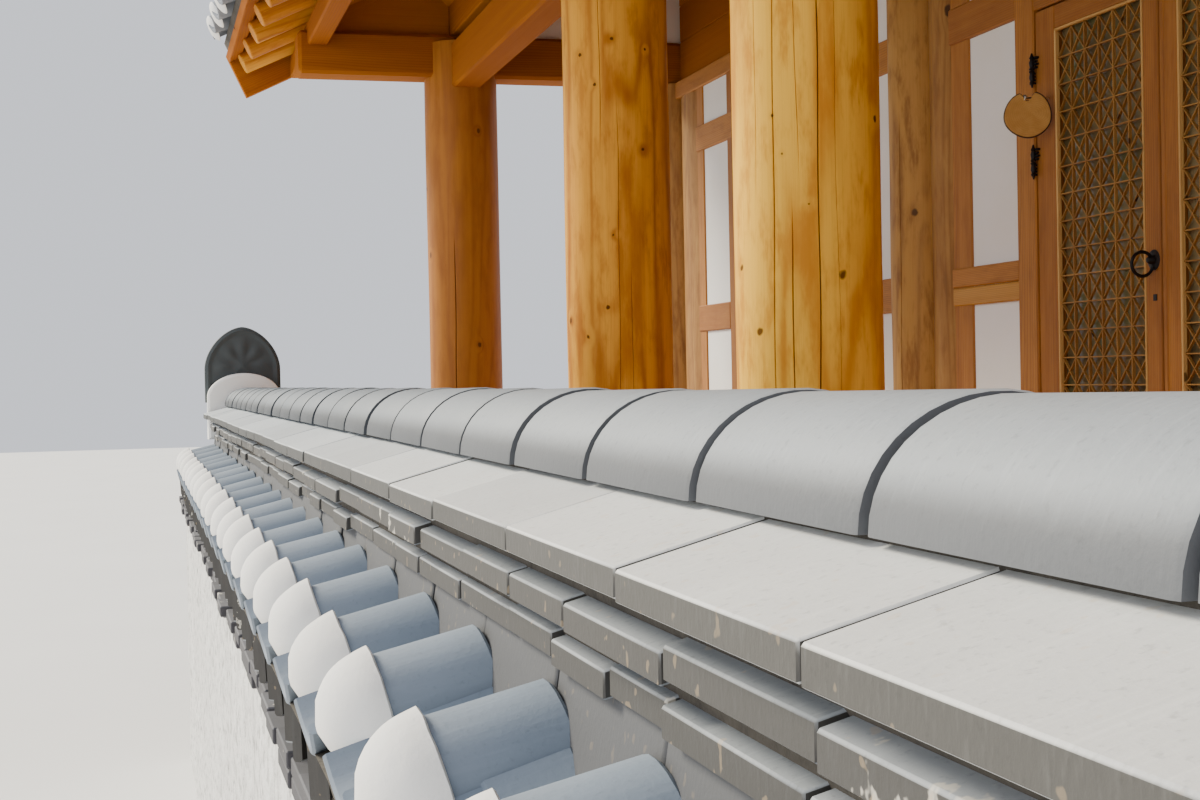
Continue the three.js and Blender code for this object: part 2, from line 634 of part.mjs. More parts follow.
// Low front wall: masonry body, tiled coping, layers of plate tiles, ridge tiles and the turned-up end
const wallY = LOW_WALL.centreY;
const innerY = wallY + LOW_WALL.thick / 2;
const outerY = wallY - LOW_WALL.thick / 2;
add("low_wall_body", box(LOW_WALL.left, LOW_WALL.right, outerY, innerY, 0, LOW_WALL.top), "lime");
const mirrored = (half) => [
  ...half.map(([y, z]) => [wallY + y, z]),
  ...half.toReversed().map(([y, z]) => [wallY - y, z]),
];
const copingOutline = mirrored([
  [COPING.core - 10, LOW_WALL.top],
  [COPING.drip - COPING.bevel, LOW_WALL.top],
  [COPING.drip, COPING.dripTop - COPING.bevel],
  [COPING.drip, COPING.dripTop],
  [COPING.core + 5, COPING.bedTop],
  [COPING.core - 5, COPING.plateBottom],
]);
const copingSlope = Math.atan2(COPING.bedTop - COPING.dripTop, COPING.drip - COPING.core - 5);
const copingRun = (COPING.drip - COPING.core - 5) / Math.cos(copingSlope);
const copingRows = Math.floor((LOW_WALL.right - LOW_WALL.left) / COPING_TILE_PITCH);
const copingParts = [alongX(copingOutline, LOW_WALL.left, LOW_WALL.right)];
const halfRound = [[COPING_TILE_R, -15]];
for (let k = 0; k <= 5; k++) {
  const angle = (Math.PI * k) / 5;
  halfRound.push([COPING_TILE_R * Math.cos(angle), COPING_TILE_R * Math.sin(angle)]);
}
halfRound.push([-COPING_TILE_R, -15]);
for (const side of ["front", "rear"]) {
  const sign = side === "front" ? -1 : 1;
  const slope = slopeFrame(side, wallY + sign * (COPING.core + 5), COPING.bedTop, copingSlope);
  for (let i = 0; i < copingRows; i++) {
    const x = LOW_WALL.left + (i + COPING_TILE_PHASE) * COPING_TILE_PITCH;
    const outline = halfRound.map(([dx, n]) => [sign * x + dx, n]);
    copingParts.push(solid(downSlope(outline, -8, copingRun + 4).applyMatrix4(slope)));
  }
}
add("low_wall_coping", join(copingParts), "tile");

const END_CAP = { length: 125, half: 150, ledge: 1480, shoulder: 1545, rise: 55 };
const rowStart = LOW_WALL.left + END_CAP.length + SEAT;
let layerZ = COPING.plateBottom;
const plateOutline = [];
for (const { half, height, rest } of PLATE_LAYERS) {
  plateOutline.push([half, layerZ], [half, layerZ + PLATE_EDGE], [rest, layerZ + height]);
  layerZ += height;
}
add("low_wall_plate_tiles", alongX(mirrored(plateOutline), rowStart, LOW_WALL.right), "tile");
const ridgeTileOutline = [];
for (let k = 0; k <= 8; k++) {
  const angle = (Math.PI * k) / 8;
  ridgeTileOutline.push([
    wallY + RIDGE_TILE.half * Math.cos(angle),
    layerZ + RIDGE_TILE.height * Math.sin(angle),
  ]);
}
add("low_wall_ridge_tiles", alongX(ridgeTileOutline, rowStart, LOW_WALL.right), "tile");
// The end cap is a body of lime plaster whose arched collar stands in front of the upright end tile.
const END_TILE = { half: 155, top: 1793, thick: 40, straight: 150 };
const capFace = LOW_WALL.left + END_TILE.thick;
const collar = [[wallY - END_CAP.half, COPING.plateBottom], [wallY + END_CAP.half, COPING.plateBottom]];
for (let k = 0; k <= 8; k++) {
  const angle = (Math.PI * k) / 8;
  collar.push([wallY + END_CAP.half * Math.cos(angle), END_CAP.shoulder + END_CAP.rise * Math.sin(angle)]);
}
const ledge = box(
  LOW_WALL.left,
  capFace + 10,
  wallY - END_CAP.half,
  wallY + END_CAP.half,
  COPING.plateBottom,
  END_CAP.ledge,
);
const capBody = alongX(collar, capFace, LOW_WALL.left + END_CAP.length).add(ledge);
add("low_wall_end_cap", capBody, "lime");
const endTileFoot = END_CAP.ledge + SEAT;
const endTileOutline = [[wallY - END_TILE.half, endTileFoot], [wallY + END_TILE.half, endTileFoot]];
const archFoot = endTileFoot + END_TILE.straight;
for (let k = 0; k <= 10; k++) {
  const angle = (Math.PI * k) / 10;
  endTileOutline.push([
    wallY + END_TILE.half * Math.cos(angle),
    archFoot + (END_TILE.top - archFoot) * Math.sin(angle),
  ]);
}
add("low_wall_end_tile", alongX(endTileOutline, LOW_WALL.left, capFace - SEAT), "endTile");

// Door leaves, each drawn closed in a group whose origin is its hinge line
const LEAF = {
  thick: 38,
  setBack: 3,
  stile: 98,
  meeting: 69,
  bottom: 80,
  panelTop: 1285,
  latticeBottom: 1350,
  latticeTop: 2480,
};
const LEAF_Z = [SILL_TOP + RUNNING_GAP, DOOR.top - RUNNING_GAP];
const meetingX = (DOOR.left + DOOR.right) / 2;
const LEAF_ROWS = 8;
// A round slice of wood hangs on a long nail in the left leaf's stile, turned towards the house's right end
const SLICE = { x: -648, y: 930, z: 2250, radius: 67, thick: 14, sides: 24, turn: 60 };
const NAIL = { radius: 4, rise: 56, past: 12, sides: 8 };
function hangingSlice(leafX, leafY, faceY) {
  const disc = new THREE.CylinderGeometry(SLICE.radius, SLICE.radius, SLICE.thick, SLICE.sides);
  disc.rotateZ(THREE.MathUtils.degToRad(SLICE.turn));
  disc.translate(SLICE.x - leafX, SLICE.y - leafY, SLICE.z);
  const [y0, y1] = [SLICE.y - leafY - NAIL.past, faceY - SEAT];
  const nail = new THREE.CylinderGeometry(NAIL.radius, NAIL.radius, y1 - y0, NAIL.sides);
  nail.translate(SLICE.x - leafX, (y0 + y1) / 2, SLICE.z + NAIL.rise);
  return join([disc, nail].map(solid));
}
const PANE = { thick: 4, edge: 8, behind: 24 };
const RING = { x: 36, z: 1815, radius: 32, wire: 4.5, plate: 26, plateThick: 4, drop: 26, out: 8 };
const RING_EYE = { wide: 10, deep: 18, tall: 14, rise: 4, out: 6 };
for (const [side, sign, hingeX] of [
  ["left", 1, DOOR.left + HINGE.inset],
  ["right", -1, DOOR.right - HINGE.inset],
]) {
  const leaf = new THREE.Group();
  leaf.position.set(hingeX, WALL_FACE_Y - HINGE.proud, 0);
  house.add(leaf);
  const reach = Math.abs(meetingX - hingeX) - RUNNING_GAP / 2;
  const y0 = HINGE.proud + LEAF.setBack;
  const y1 = y0 + LEAF.thick;
  const piece = (a, b, ...rest) => (sign > 0 ? box(a, b, ...rest) : box(-b, -a, ...rest));
  const inner = LEAF.stile;
  const outer = reach - LEAF.meeting;
  const parts = [
    piece(HINGE.inset, inner, y0, y1, ...LEAF_Z),
    piece(outer, reach, y0, y1, ...LEAF_Z),
    piece(HINGE.inset, reach, y0, y1, LEAF_Z[0], LEAF_Z[0] + LEAF.bottom),
    piece(HINGE.inset, reach, y0, y1, LEAF.panelTop, LEAF.latticeBottom),
    piece(HINGE.inset, reach, y0, y1, LEAF.latticeTop, LEAF_Z[1]),
    piece(inner - 5, outer + 5, y0 + 12, y1 - 12, LEAF_Z[0] + LEAF.bottom - 5, LEAF.panelTop + 5),
  ];
  const latticeY = [y0 + 4, y0 + PANE.behind - 2];
  for (let i = 1; i < LEAF_ROWS; i++) {
    const z = LEAF.latticeBottom + ((LEAF.latticeTop - LEAF.latticeBottom) * i) / LEAF_ROWS;
    parts.push(piece(inner - 5, outer + 5, ...latticeY, z - LATTICE_BAR / 2, z + LATTICE_BAR / 2));
  }
  for (const share of [1 / 3, 2 / 3]) {
    const x = inner + (outer - inner) * share;
    const [z0, z1] = [LEAF.latticeBottom - 5, LEAF.latticeTop + 5];
    parts.push(piece(x - LATTICE_BAR / 2, x + LATTICE_BAR / 2, ...latticeY, z0, z1));
  }
  const pane = (grow) =>
    piece(
      inner - PANE.edge - grow,
      outer + PANE.edge + grow,
      y0 + PANE.behind - grow,
      y0 + PANE.behind + PANE.thick + grow,
      LEAF.latticeBottom - PANE.edge - grow,
      LEAF.latticeTop + PANE.edge + grow,
    );
  parts.push(
    ...knuckles(0, sign, SEAT).map((knuckle) => knuckle.translate([0, HINGE.proud - WALL_FACE_Y, 0])),
  );
  add(side + "_door_leaf", join(parts).subtract(pane(SEAT)), "boards", leaf);
  add(side + "_door_pane", pane(0), "glass", leaf);

  // The left leaf alone carries the hanging slice and the ring pull
  if (side === "right") continue;
  add("wooden_disc", hangingSlice(hingeX, WALL_FACE_Y - HINGE.proud, y0), "boards", leaf);
  const ringX = reach - RING.x;
  const plate = new THREE.CylinderGeometry(RING.plate, RING.plate, RING.plateThick, 12);
  plate.translate(ringX, y0 - SEAT - RING.plateThick / 2, 0);
  const ring = new THREE.TorusGeometry(RING.radius, RING.wire, 5, 14);
  ring.rotateX(Math.PI / 2);
  ring.translate(ringX, y0 - SEAT - RING.plateThick - RING.out, -RING.drop);
  const eye = new THREE.BoxGeometry(RING_EYE.wide, RING_EYE.deep, RING_EYE.tall);
  eye.translate(ringX, y0 - SEAT - RING.plateThick - RING_EYE.out, RING_EYE.rise);
  const pull = add("left_ring_pull", join([plate, ring, eye].map(solid)), "iron", leaf);
  pull.position.z = RING.z;
}

export default house;
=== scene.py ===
# %% [markdown]
# # A hanok house behind its low tiled wall
# The CAD model gives every solid its place and size, and this lesson dresses it: round logs with drying
# cracks, timber with its grain, fired clay tiles, lime plaster, dressed stone and a lattice door. All
# lengths are metres, with +Z up, and the front looks along -Y.

# %% Load the fixed frame
import math

import bpy
import numpy as np
from mathutils import Matrix, Vector


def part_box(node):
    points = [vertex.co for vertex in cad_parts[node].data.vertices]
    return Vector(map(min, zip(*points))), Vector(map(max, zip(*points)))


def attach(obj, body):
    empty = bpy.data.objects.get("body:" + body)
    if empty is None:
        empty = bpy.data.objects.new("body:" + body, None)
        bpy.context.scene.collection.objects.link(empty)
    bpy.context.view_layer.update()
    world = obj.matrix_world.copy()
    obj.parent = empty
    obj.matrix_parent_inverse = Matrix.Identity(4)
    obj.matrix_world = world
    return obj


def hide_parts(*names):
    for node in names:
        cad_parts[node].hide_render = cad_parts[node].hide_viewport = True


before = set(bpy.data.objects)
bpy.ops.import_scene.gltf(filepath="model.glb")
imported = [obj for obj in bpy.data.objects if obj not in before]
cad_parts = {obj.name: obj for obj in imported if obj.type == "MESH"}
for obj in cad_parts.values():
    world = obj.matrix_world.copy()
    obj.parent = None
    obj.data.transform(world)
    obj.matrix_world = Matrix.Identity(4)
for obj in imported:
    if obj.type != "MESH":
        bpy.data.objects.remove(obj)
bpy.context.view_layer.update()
random = np.random.default_rng(7)
print("nodes in the frame:", len(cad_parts))

# %% [markdown]
# ## Shader sums written as Python
# A material is a net of nodes. Placing each node by hand hides the thought behind it, so a small class
# wraps an output socket, and a sum or product of two wrapped sockets adds its Math node. A second class
# holds one material and makes every other node through a single method.


# %% A wrapped socket with arithmetic
class Wire:
    """One number that varies over a surface. Arithmetic on it adds Math nodes to its material."""

    def __init__(self, finish, socket):
        self.finish, self.socket = finish, socket

    def math(self, operation, *values, clamp=False):
        sockets = {i: value for i, value in enumerate((self, *values))}
        return self.finish.node("ShaderNodeMath", {"operation": operation, "use_clamp": clamp}, sockets)

    def __add__(self, other):
        return self.math("ADD", other)

    def __sub__(self, other):
        return self.math("SUBTRACT", other)

    def __rsub__(self, other):
        return self.finish.node("ShaderNodeMath", {"operation": "SUBTRACT"}, {0: other, 1: self})

    def __mul__(self, other):
        return self.math("MULTIPLY", other)

    def __pow__(self, other):
        return self.math("POWER", other)

    def __lt__(self, other):
        return self.math("LESS_THAN", other)

    __radd__, __rmul__ = __add__, __mul__

    def clamp(self):
        return self.math("ADD", 0.0, clamp=True)

    def step(self, low, high):
        """0 below low, 1 above high, and a smooth rise between them."""
        sockets = {"Value": self, "From Min": low, "From Max": high}
        return self.finish.node("ShaderNodeMapRange", {"interpolation_type": "SMOOTHSTEP"}, sockets)


# %% One material and its nodes
class Finish:
    """A material whose surface is a Principled shader. Colours are linear RGB triples."""

    def __init__(self, name, **constants):
        self.material = bpy.data.materials.new(name)
        self.material.use_nodes = True
        self.tree = self.material.node_tree
        self.shader = self.tree.nodes["Principled BSDF"]
        for socket, value in constants.items():
            self.shader.inputs[socket.replace("_", " ")].default_value = value

    def node(self, kind, settings=None, sockets=None, out=0):
        """Adds any node: its settings first, then the values or links of its sockets."""
        made = self.tree.nodes.new(kind)
        for key, value in (settings or {}).items():
            setattr(made, key, value)
        for key, value in (sockets or {}).items():
            self.feed(made.inputs[key], value)
        return Wire(self, made.outputs[out])

    def feed(self, socket, value):
        """Links a wire to a socket, or sets the socket to a number, triple or colour."""
        if isinstance(value, Wire):
            self.tree.links.new(value.socket, socket)
        elif socket.type == "RGBA" and len(value) == 3:
            socket.default_value = (*value, 1.0)
        else:
            socket.default_value = value

    def attribute(self, name):
        """A triple that the mesh carries per point, such as grain, face or tint."""
        return self.node("ShaderNodeAttribute", {"attribute_name": name}, out="Vector")

    def place(self):
        """The point's own place in metres, since every piece sits at the origin."""
        return self.node("ShaderNodeTexCoord", out="Object")

    def parts(self, vector):
        """The three components of a vector or colour."""
        split = self.node("ShaderNodeSeparateXYZ", {}, {0: vector}).socket.node
        return [Wire(self, socket) for socket in split.outputs]

    def vector(self, x, y, z):
        return self.node("ShaderNodeCombineXYZ", {}, {0: x, 1: y, 2: z})

    def scaled(self, vector, factors):
        return self.node("ShaderNodeVectorMath", {"operation": "MULTIPLY"}, {0: vector, 1: factors})

    def noise(self, vector, scale, detail=2.0, roughness=0.5):
        sockets = {"Vector": vector, "Scale": scale, "Detail": detail, "Roughness": roughness}
        return self.node("ShaderNodeTexNoise", {}, sockets)

    def mix(self, factor, first, second, blend="MIX"):
        """A colour between first and second."""
        sockets = {0: factor, 6: first, 7: second}
        return self.node("ShaderNodeMix", {"data_type": "RGBA", "blend_type": blend}, sockets, out=2)

    def finish(self, colour, roughness=None, height=None, depth=0.001, strength=1.0):
        """Links the colour, the roughness and a bump of that depth in metres to the shader."""
        self.feed(self.shader.inputs["Base Color"], colour)
        if roughness is not None:
            self.feed(self.shader.inputs["Roughness"], roughness)
        if height is not None:
            sockets = {"Height": height, "Distance": depth, "Strength": strength}
            self.feed(self.shader.inputs["Normal"], self.node("ShaderNodeBump", {}, sockets))
        return self.material


# %% [markdown]
# ## From arrays to meshes
# Every piece is worked out as whole numpy arrays and handed to Blender in one go with foreach_set, which
# is many times quicker than adding vertices one by one. A shape is a triple of points, face tables and
# named values per point. The shapes of one piece are joined, and a shell whose faces point inwards is
# turned by the sign of its volume.


# %% Join shapes into one piece
SHARP_FROM = math.radians(35)


def inside_out(points, faces):
    """True if the shell's signed volume, the sum of corner triple products over 6, is below zero."""
    total = 0.0
    for table in faces:
        for k in range(1, table.shape[1] - 1):
            a, b, c = points[table[:, 0]], points[table[:, k]], points[table[:, k + 1]]
            total += np.einsum("ij,ij->", a, np.cross(b, c))
    return total < 0


def make(name, shapes, finish, body="root", replaces=()):
    """One object out of closed shapes, riding on a body. Edges that turn by more than SHARP_FROM stay sharp."""
    loops, sizes, first = [], [], 0
    for points, faces, _ in shapes:
        centred = points - points.mean(axis=0)
        turn = inside_out(centred, faces)
        for table in faces:
            table = table[:, ::-1] if turn else table
            loops.append((table + first).ravel())
            sizes.append(np.full(len(table), table.shape[1]))
        first += len(points)
    points = np.concatenate([shape[0] for shape in shapes])
    loops, sizes = np.concatenate(loops), np.concatenate(sizes)
    mesh = bpy.data.meshes.new(name)
    mesh.vertices.add(len(points))
    mesh.vertices.foreach_set("co", points.astype(np.float32).ravel())
    mesh.loops.add(len(loops))
    mesh.loops.foreach_set("vertex_index", loops.astype(np.int32))
    mesh.polygons.add(len(sizes))
    mesh.polygons.foreach_set("loop_start", np.concatenate([[0], np.cumsum(sizes)[:-1]]).astype(np.int32))
    for key in sorted({key for shape in shapes for key in shape[2]}):
        rows = [shape[2].get(key, np.zeros((len(shape[0]), 3))) for shape in shapes]
        layer = mesh.attributes.new(key, "FLOAT_VECTOR", "POINT")
        layer.data.foreach_set("vector", np.concatenate(rows).astype(np.float32).ravel())
    mesh.update(calc_edges=True)
    mesh.validate()
    mesh.shade_smooth()
    mesh.set_sharp_from_angle(angle=SHARP_FROM)
    piece = bpy.data.objects.new(name, mesh)
    bpy.context.scene.collection.objects.link(piece)
    mesh.materials.append(finish)
    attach(piece, body)
    if replaces:
        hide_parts(*replaces)
    print(name, "faces:", len(sizes))


# %% A grid carried round or along
def skin(grid, values=None):
    """The shell over a grid of points (rows, columns, 3) whose columns close on themselves.
    Quad (i, j) joins rows i and i + 1 and columns j and j + 1; each end row closes on its middle."""
    rows, columns = grid.shape[:2]
    index = np.arange(rows * columns).reshape(rows, columns)
    beside = np.roll(index, -1, axis=1)
    quads = np.stack([index[:-1], beside[:-1], beside[1:], index[1:]], axis=-1).reshape(-1, 4)
    first, last = (np.full(columns, rows * columns + k) for k in (0, 1))
    fans = [np.stack([first, beside[0], index[0]], axis=-1), np.stack([last, index[-1], beside[-1]], axis=-1)]
    points = np.concatenate([grid.reshape(-1, 3), grid[0].mean(axis=0)[None], grid[-1].mean(axis=0)[None]])
    closed = {}
    for key, value in (values or {}).items():
        closed[key] = np.concatenate([value.reshape(-1, 3), value[[0, -1]].mean(axis=1)])
    return points, [quads, *fans], closed


def repeated(shape, count):
    """A shape's points once for each of its copies: (copies, points, 3)."""
    return np.broadcast_to(shape[0], (count, *shape[0].shape))


def copies(shape, placed, values):
    """Many copies of one shape. placed is (copies, points, 3) and each value is (copies, points, 3)."""
    _, faces, _ = shape
    count, size = placed.shape[:2]
    first = (np.arange(count) * size)[:, None, None]
    tables = [(table[None] + first).reshape(-1, table.shape[1]) for table in faces]
    values = {key: np.broadcast_to(value, (count, size, 3)).reshape(-1, 3) for key, value in values.items()}
    return placed.reshape(-1, 3), tables, values


def moved(shape, function):
    """The same shape with its points passed through a function of the whole array."""
    points, faces, values = shape
    return function(points), faces, values


def pairs(edges):
    """The stretches between neighbouring edges."""
    return zip(edges[:-1], edges[1:])


# %% [markdown]
# ## Sawn timber and logs
# A beam could be a plain box, but a real one has planed-off edges that catch the light, and grain that
# runs its own way. Each member gets three values per point: grain, its own length and section with the
# tree's heart somewhere beside it; face, a flat map of its surfaces for knots; and tint, one random
# triple per member for its tone.

# %% Boxes with planed-off edges
CORNERS = np.array([[(c >> k) & 1 for k in range(3)] for c in range(8)]) * 2 - 1


def chamfered_tables():
    """Faces of a box with 24 points: corner c has a point on each of its three sides, numbered 3 c + side."""
    code = {tuple(corner): c for c, corner in enumerate(CORNERS.tolist())}
    quads = []
    for side in range(3):
        a, b = [k for k in range(3) if k != side]
        for sign in (-1, 1):
            ring = []
            for sa, sb in ((-1, -1), (1, -1), (1, 1), (-1, 1)):
                corner = [0, 0, 0]
                corner[side], corner[a], corner[b] = sign, sa, sb
                ring.append(3 * code[tuple(corner)] + side)
            quads.append(ring)
        for sa in (-1, 1):
            for sb in (-1, 1):
                low, high = [0, 0, 0], [0, 0, 0]
                low[side], high[side] = -1, 1
                low[a] = high[a] = sa
                low[b] = high[b] = sb
                first, second = 3 * code[tuple(low)], 3 * code[tuple(high)]
                quads.append([first + a, second + a, second + b, first + b])
    return np.array(quads), np.array([[3 * c, 3 * c + 1, 3 * c + 2] for c in range(8)])


def outward(points, table):
    """The table with every face of a shape that surrounds the origin turned outwards."""
    middle = points[table].mean(axis=1)
    normal = np.cross(points[table[:, 1]] - points[table[:, 0]], points[table[:, 2]] - points[table[:, 0]])
    inward = np.einsum("ij,ij->i", middle, normal) < 0
    return np.where(inward[:, None], table[:, ::-1], table)


BOX_SIGNS = np.repeat(CORNERS, 3, axis=0)
BOX_INSET = 1 - np.tile(np.eye(3), (8, 1))
BOX_TABLES = [outward(BOX_SIGNS - 0.2 * BOX_SIGNS * BOX_INSET, table) for table in chamfered_tables()]
GRAIN_SHIFT = 40  # how far along its own pattern a member may start


def member_values(local, length_axis, side_axis):
    """grain, face and tint of members. local is (members, points, 3) from each member's middle."""
    count, size = local.shape[:2]
    a = length_axis[:, None, None]
    across = np.stack([np.where(length_axis == 0, 1, 0), np.where(length_axis == 2, 1, 2)], axis=-1)
    along = np.take_along_axis(local, np.broadcast_to(a, (count, size, 1)), axis=2)
    section = np.take_along_axis(local, np.broadcast_to(across[:, None], (count, size, 2)), axis=2)
    heart = random.uniform(0.08, 0.22, (count, 1, 2)) * random.choice([-1, 1], (count, 1, 2))
    shift = random.uniform(0, GRAIN_SHIFT, (count, 1, 1))
    grain = np.concatenate([along + shift, section + heart], axis=2)
    side = side_axis[None, :, None]
    on_first = np.broadcast_to(across[:, None, :1], (count, size, 1)) == side
    wide = np.where(on_first, section[..., 1:], section[..., :1])
    face = np.concatenate([wide + 1.7 * side + shift, along + shift, 0 * along], axis=2)
    tint = np.broadcast_to(random.uniform(0, 1, (count, 1, 3)), (count, size, 3))
    return {"grain": grain, "face": face, "tint": tint}


def box_rows(x0, x1, y0, y1, z0, z1):
    """Rows for planks out of arrays and single numbers. The two y may come in either order."""
    return np.stack(np.broadcast_arrays(x0, x1, np.minimum(y0, y1), np.maximum(y0, y1), z0, z1), axis=1)


def planks(boxes, chamfer=0.005, along=None):
    """Chamfered boxes from rows of x0, x1, y0, y1, z0, z1. The grain runs along the longest side, or along
    the axis that along names."""
    boxes = np.asarray(boxes, float)
    low, high = boxes[:, 0::2], boxes[:, 1::2]
    middle, half = (low + high) / 2, (high - low) / 2
    cut = np.minimum(chamfer, half.min(axis=1) * 0.45)[:, None, None]
    local = BOX_SIGNS[None] * (half[:, None] - cut * BOX_INSET[None])
    length_axis = half.argmax(axis=1) if along is None else np.full(len(boxes), along)
    values = member_values(local, length_axis, np.tile(np.arange(3), 8))
    return copies((None, BOX_TABLES, None), local + middle[:, None], values)


def waves(points, size, seed, count=20):
    """Smooth noise from -1 to 1: the mean of sine waves with random directions, about size long."""
    chance = np.random.default_rng(seed)
    direction = chance.normal(size=(3, count)) * (2 * math.pi / size / 1.7)
    return np.sin(points @ direction + chance.uniform(0, 2 * math.pi, count)).mean(axis=-1) * math.sqrt(count) / 2


# %% [markdown]
# A log is a grid of angle and height. Its radius wanders by a few millimetres as a hand-peeled trunk's
# does, and each drying crack is a narrow groove: a line at one angle that drifts a little as it climbs,
# cut to a depth that falls off on both sides. The columns of the grid crowd together at each crack, so a
# groove of a few millimetres needs no dense mesh elsewhere.


# %% Logs with drying cracks
def log(x, y, z0, z1, radius, cracks, seed, rows=90, around=96, fall=0.004, seam=0.25):
    """r = radius - fall * wander - crack depth. A crack is (turn, low, high, width, depth), in turns and
    metres. Its groove is depth * exp(-(arc distance / width)^2), and the grid drifts with it. The face map
    is arc length by height, cut open at the turn called seam, which looks away from the camera, and its
    third value is the painted shade inside a crack: its groove's share, deeper cracks darker."""
    around_once = 2 * math.pi * radius
    angle = np.linspace(0, 1, around, endpoint=False)
    beside = np.array([-4, -2, -1.2, -0.6, 0, 0.6, 1.2, 2, 4])
    extra = [turn + k * width / around_once for turn, _, _, width, _ in cracks for k in beside]
    angle = np.unique(np.round(np.concatenate([angle, np.mod(extra, 1)]), 6)) * 2 * math.pi
    # painted shade: a crack's groove this deep or deeper is painted fully black inside
    crack_end, shade_full_depth = 0.15, 0.008  # length over which a crack runs out, and depth that looks black
    height = np.linspace(z0, z1, rows)
    height_grid, straight = np.meshgrid(height, angle, indexing="ij")
    angle_grid = straight.copy()
    flat = np.stack([np.cos(angle_grid) * radius, np.sin(angle_grid) * radius, height_grid * 0.3], axis=-1)
    reach = radius - fall * (0.5 + 0.5 * waves(flat, 0.25, seed))
    crack_shade = np.zeros_like(reach)
    for k, (turn, low, high, width, depth) in enumerate(cracks):
        drift = 0.0035 * np.sin(height_grid * 3.1 + k) + 0.0015 * np.sin(height_grid * 11 + 2 * k)
        away = (np.mod(straight / (2 * math.pi) - turn + 0.5, 1) - 0.5) * around_once
        ends = np.clip((height_grid - low) / crack_end, 0, 1) * np.clip((high - height_grid) / crack_end, 0, 1)
        groove = ends * np.exp(-((away / width) ** 2))
        reach, crack_shade = reach - depth * groove, np.maximum(crack_shade, groove * min(1, depth / shade_full_depth))
        angle_grid += drift / radius * np.exp(-((away / 0.03) ** 2))
    grid = np.stack([x + np.cos(angle_grid) * reach, y + np.sin(angle_grid) * reach, height_grid], axis=-1)
    grain = np.stack([height_grid + 7 * seed, np.cos(angle_grid) * radius, np.sin(angle_grid) * radius], axis=-1)
    opened = angle_grid - 2 * math.pi * (straight >= 2 * math.pi * seam) + 2 * math.pi
    face = np.stack([opened * radius + 3 * seed, height_grid + 3 * seed, crack_shade], axis=-1)
    tint = np.broadcast_to(np.random.default_rng(seed).uniform(0, 1, 3), grid.shape)
    return skin(grid, {"grain": grain, "face": face, "tint": tint})


def round_bars(starts, ends, radius, around=20):
    """Round bars between pairs of points. A point is start + share * (end - start) + radius * circle."""
    starts, ends = np.asarray(starts, float), np.asarray(ends, float)
    axis = (ends - starts) / np.linalg.norm(ends - starts, axis=1)[:, None]
    side = np.cross(axis, np.where(np.abs(axis[:, 2:]) < 0.9, [0.0, 0.0, 1.0], [1.0, 0.0, 0.0]))
    side /= np.linalg.norm(side, axis=1)[:, None]
    other = np.cross(axis, side)
    turn = np.linspace(0, 2 * math.pi, around, endpoint=False)
    inset, edge = 0.92, 0.004
    rings = [(0.0, inset), (edge, 1.0), (-edge, 1.0), (0.0, inset)]
    count = len(starts)
    grid = np.zeros((count, 4, around, 3))
    for row, (shift, share) in enumerate(rings):
        foot = (starts if row < 2 else ends) + axis * shift
        circle = side[:, None] * np.cos(turn)[None, :, None] + other[:, None] * np.sin(turn)[None, :, None]
        grid[:, row] = foot[:, None] + circle * radius * share
    one = skin(np.zeros((4, around, 3)))
    points = np.concatenate([grid.reshape(count, -1, 3), starts[:, None], ends[:, None]], axis=1)
    along, u, v = (np.einsum("cpk,ck->cp", points - starts[:, None], way) for way in (axis, side, other))
    shift = random.uniform(0, GRAIN_SHIFT, (count, 1))
    grain = np.stack([along + shift, u, v], axis=-1)
    face = np.stack([np.arctan2(v, u) * radius + shift, along + shift, 0 * u], axis=-1)
    tint = np.broadcast_to(random.uniform(0, 1, (count, 1, 3)), grain.shape)
    return copies(one, points, {"grain": grain, "face": face, "tint": tint})
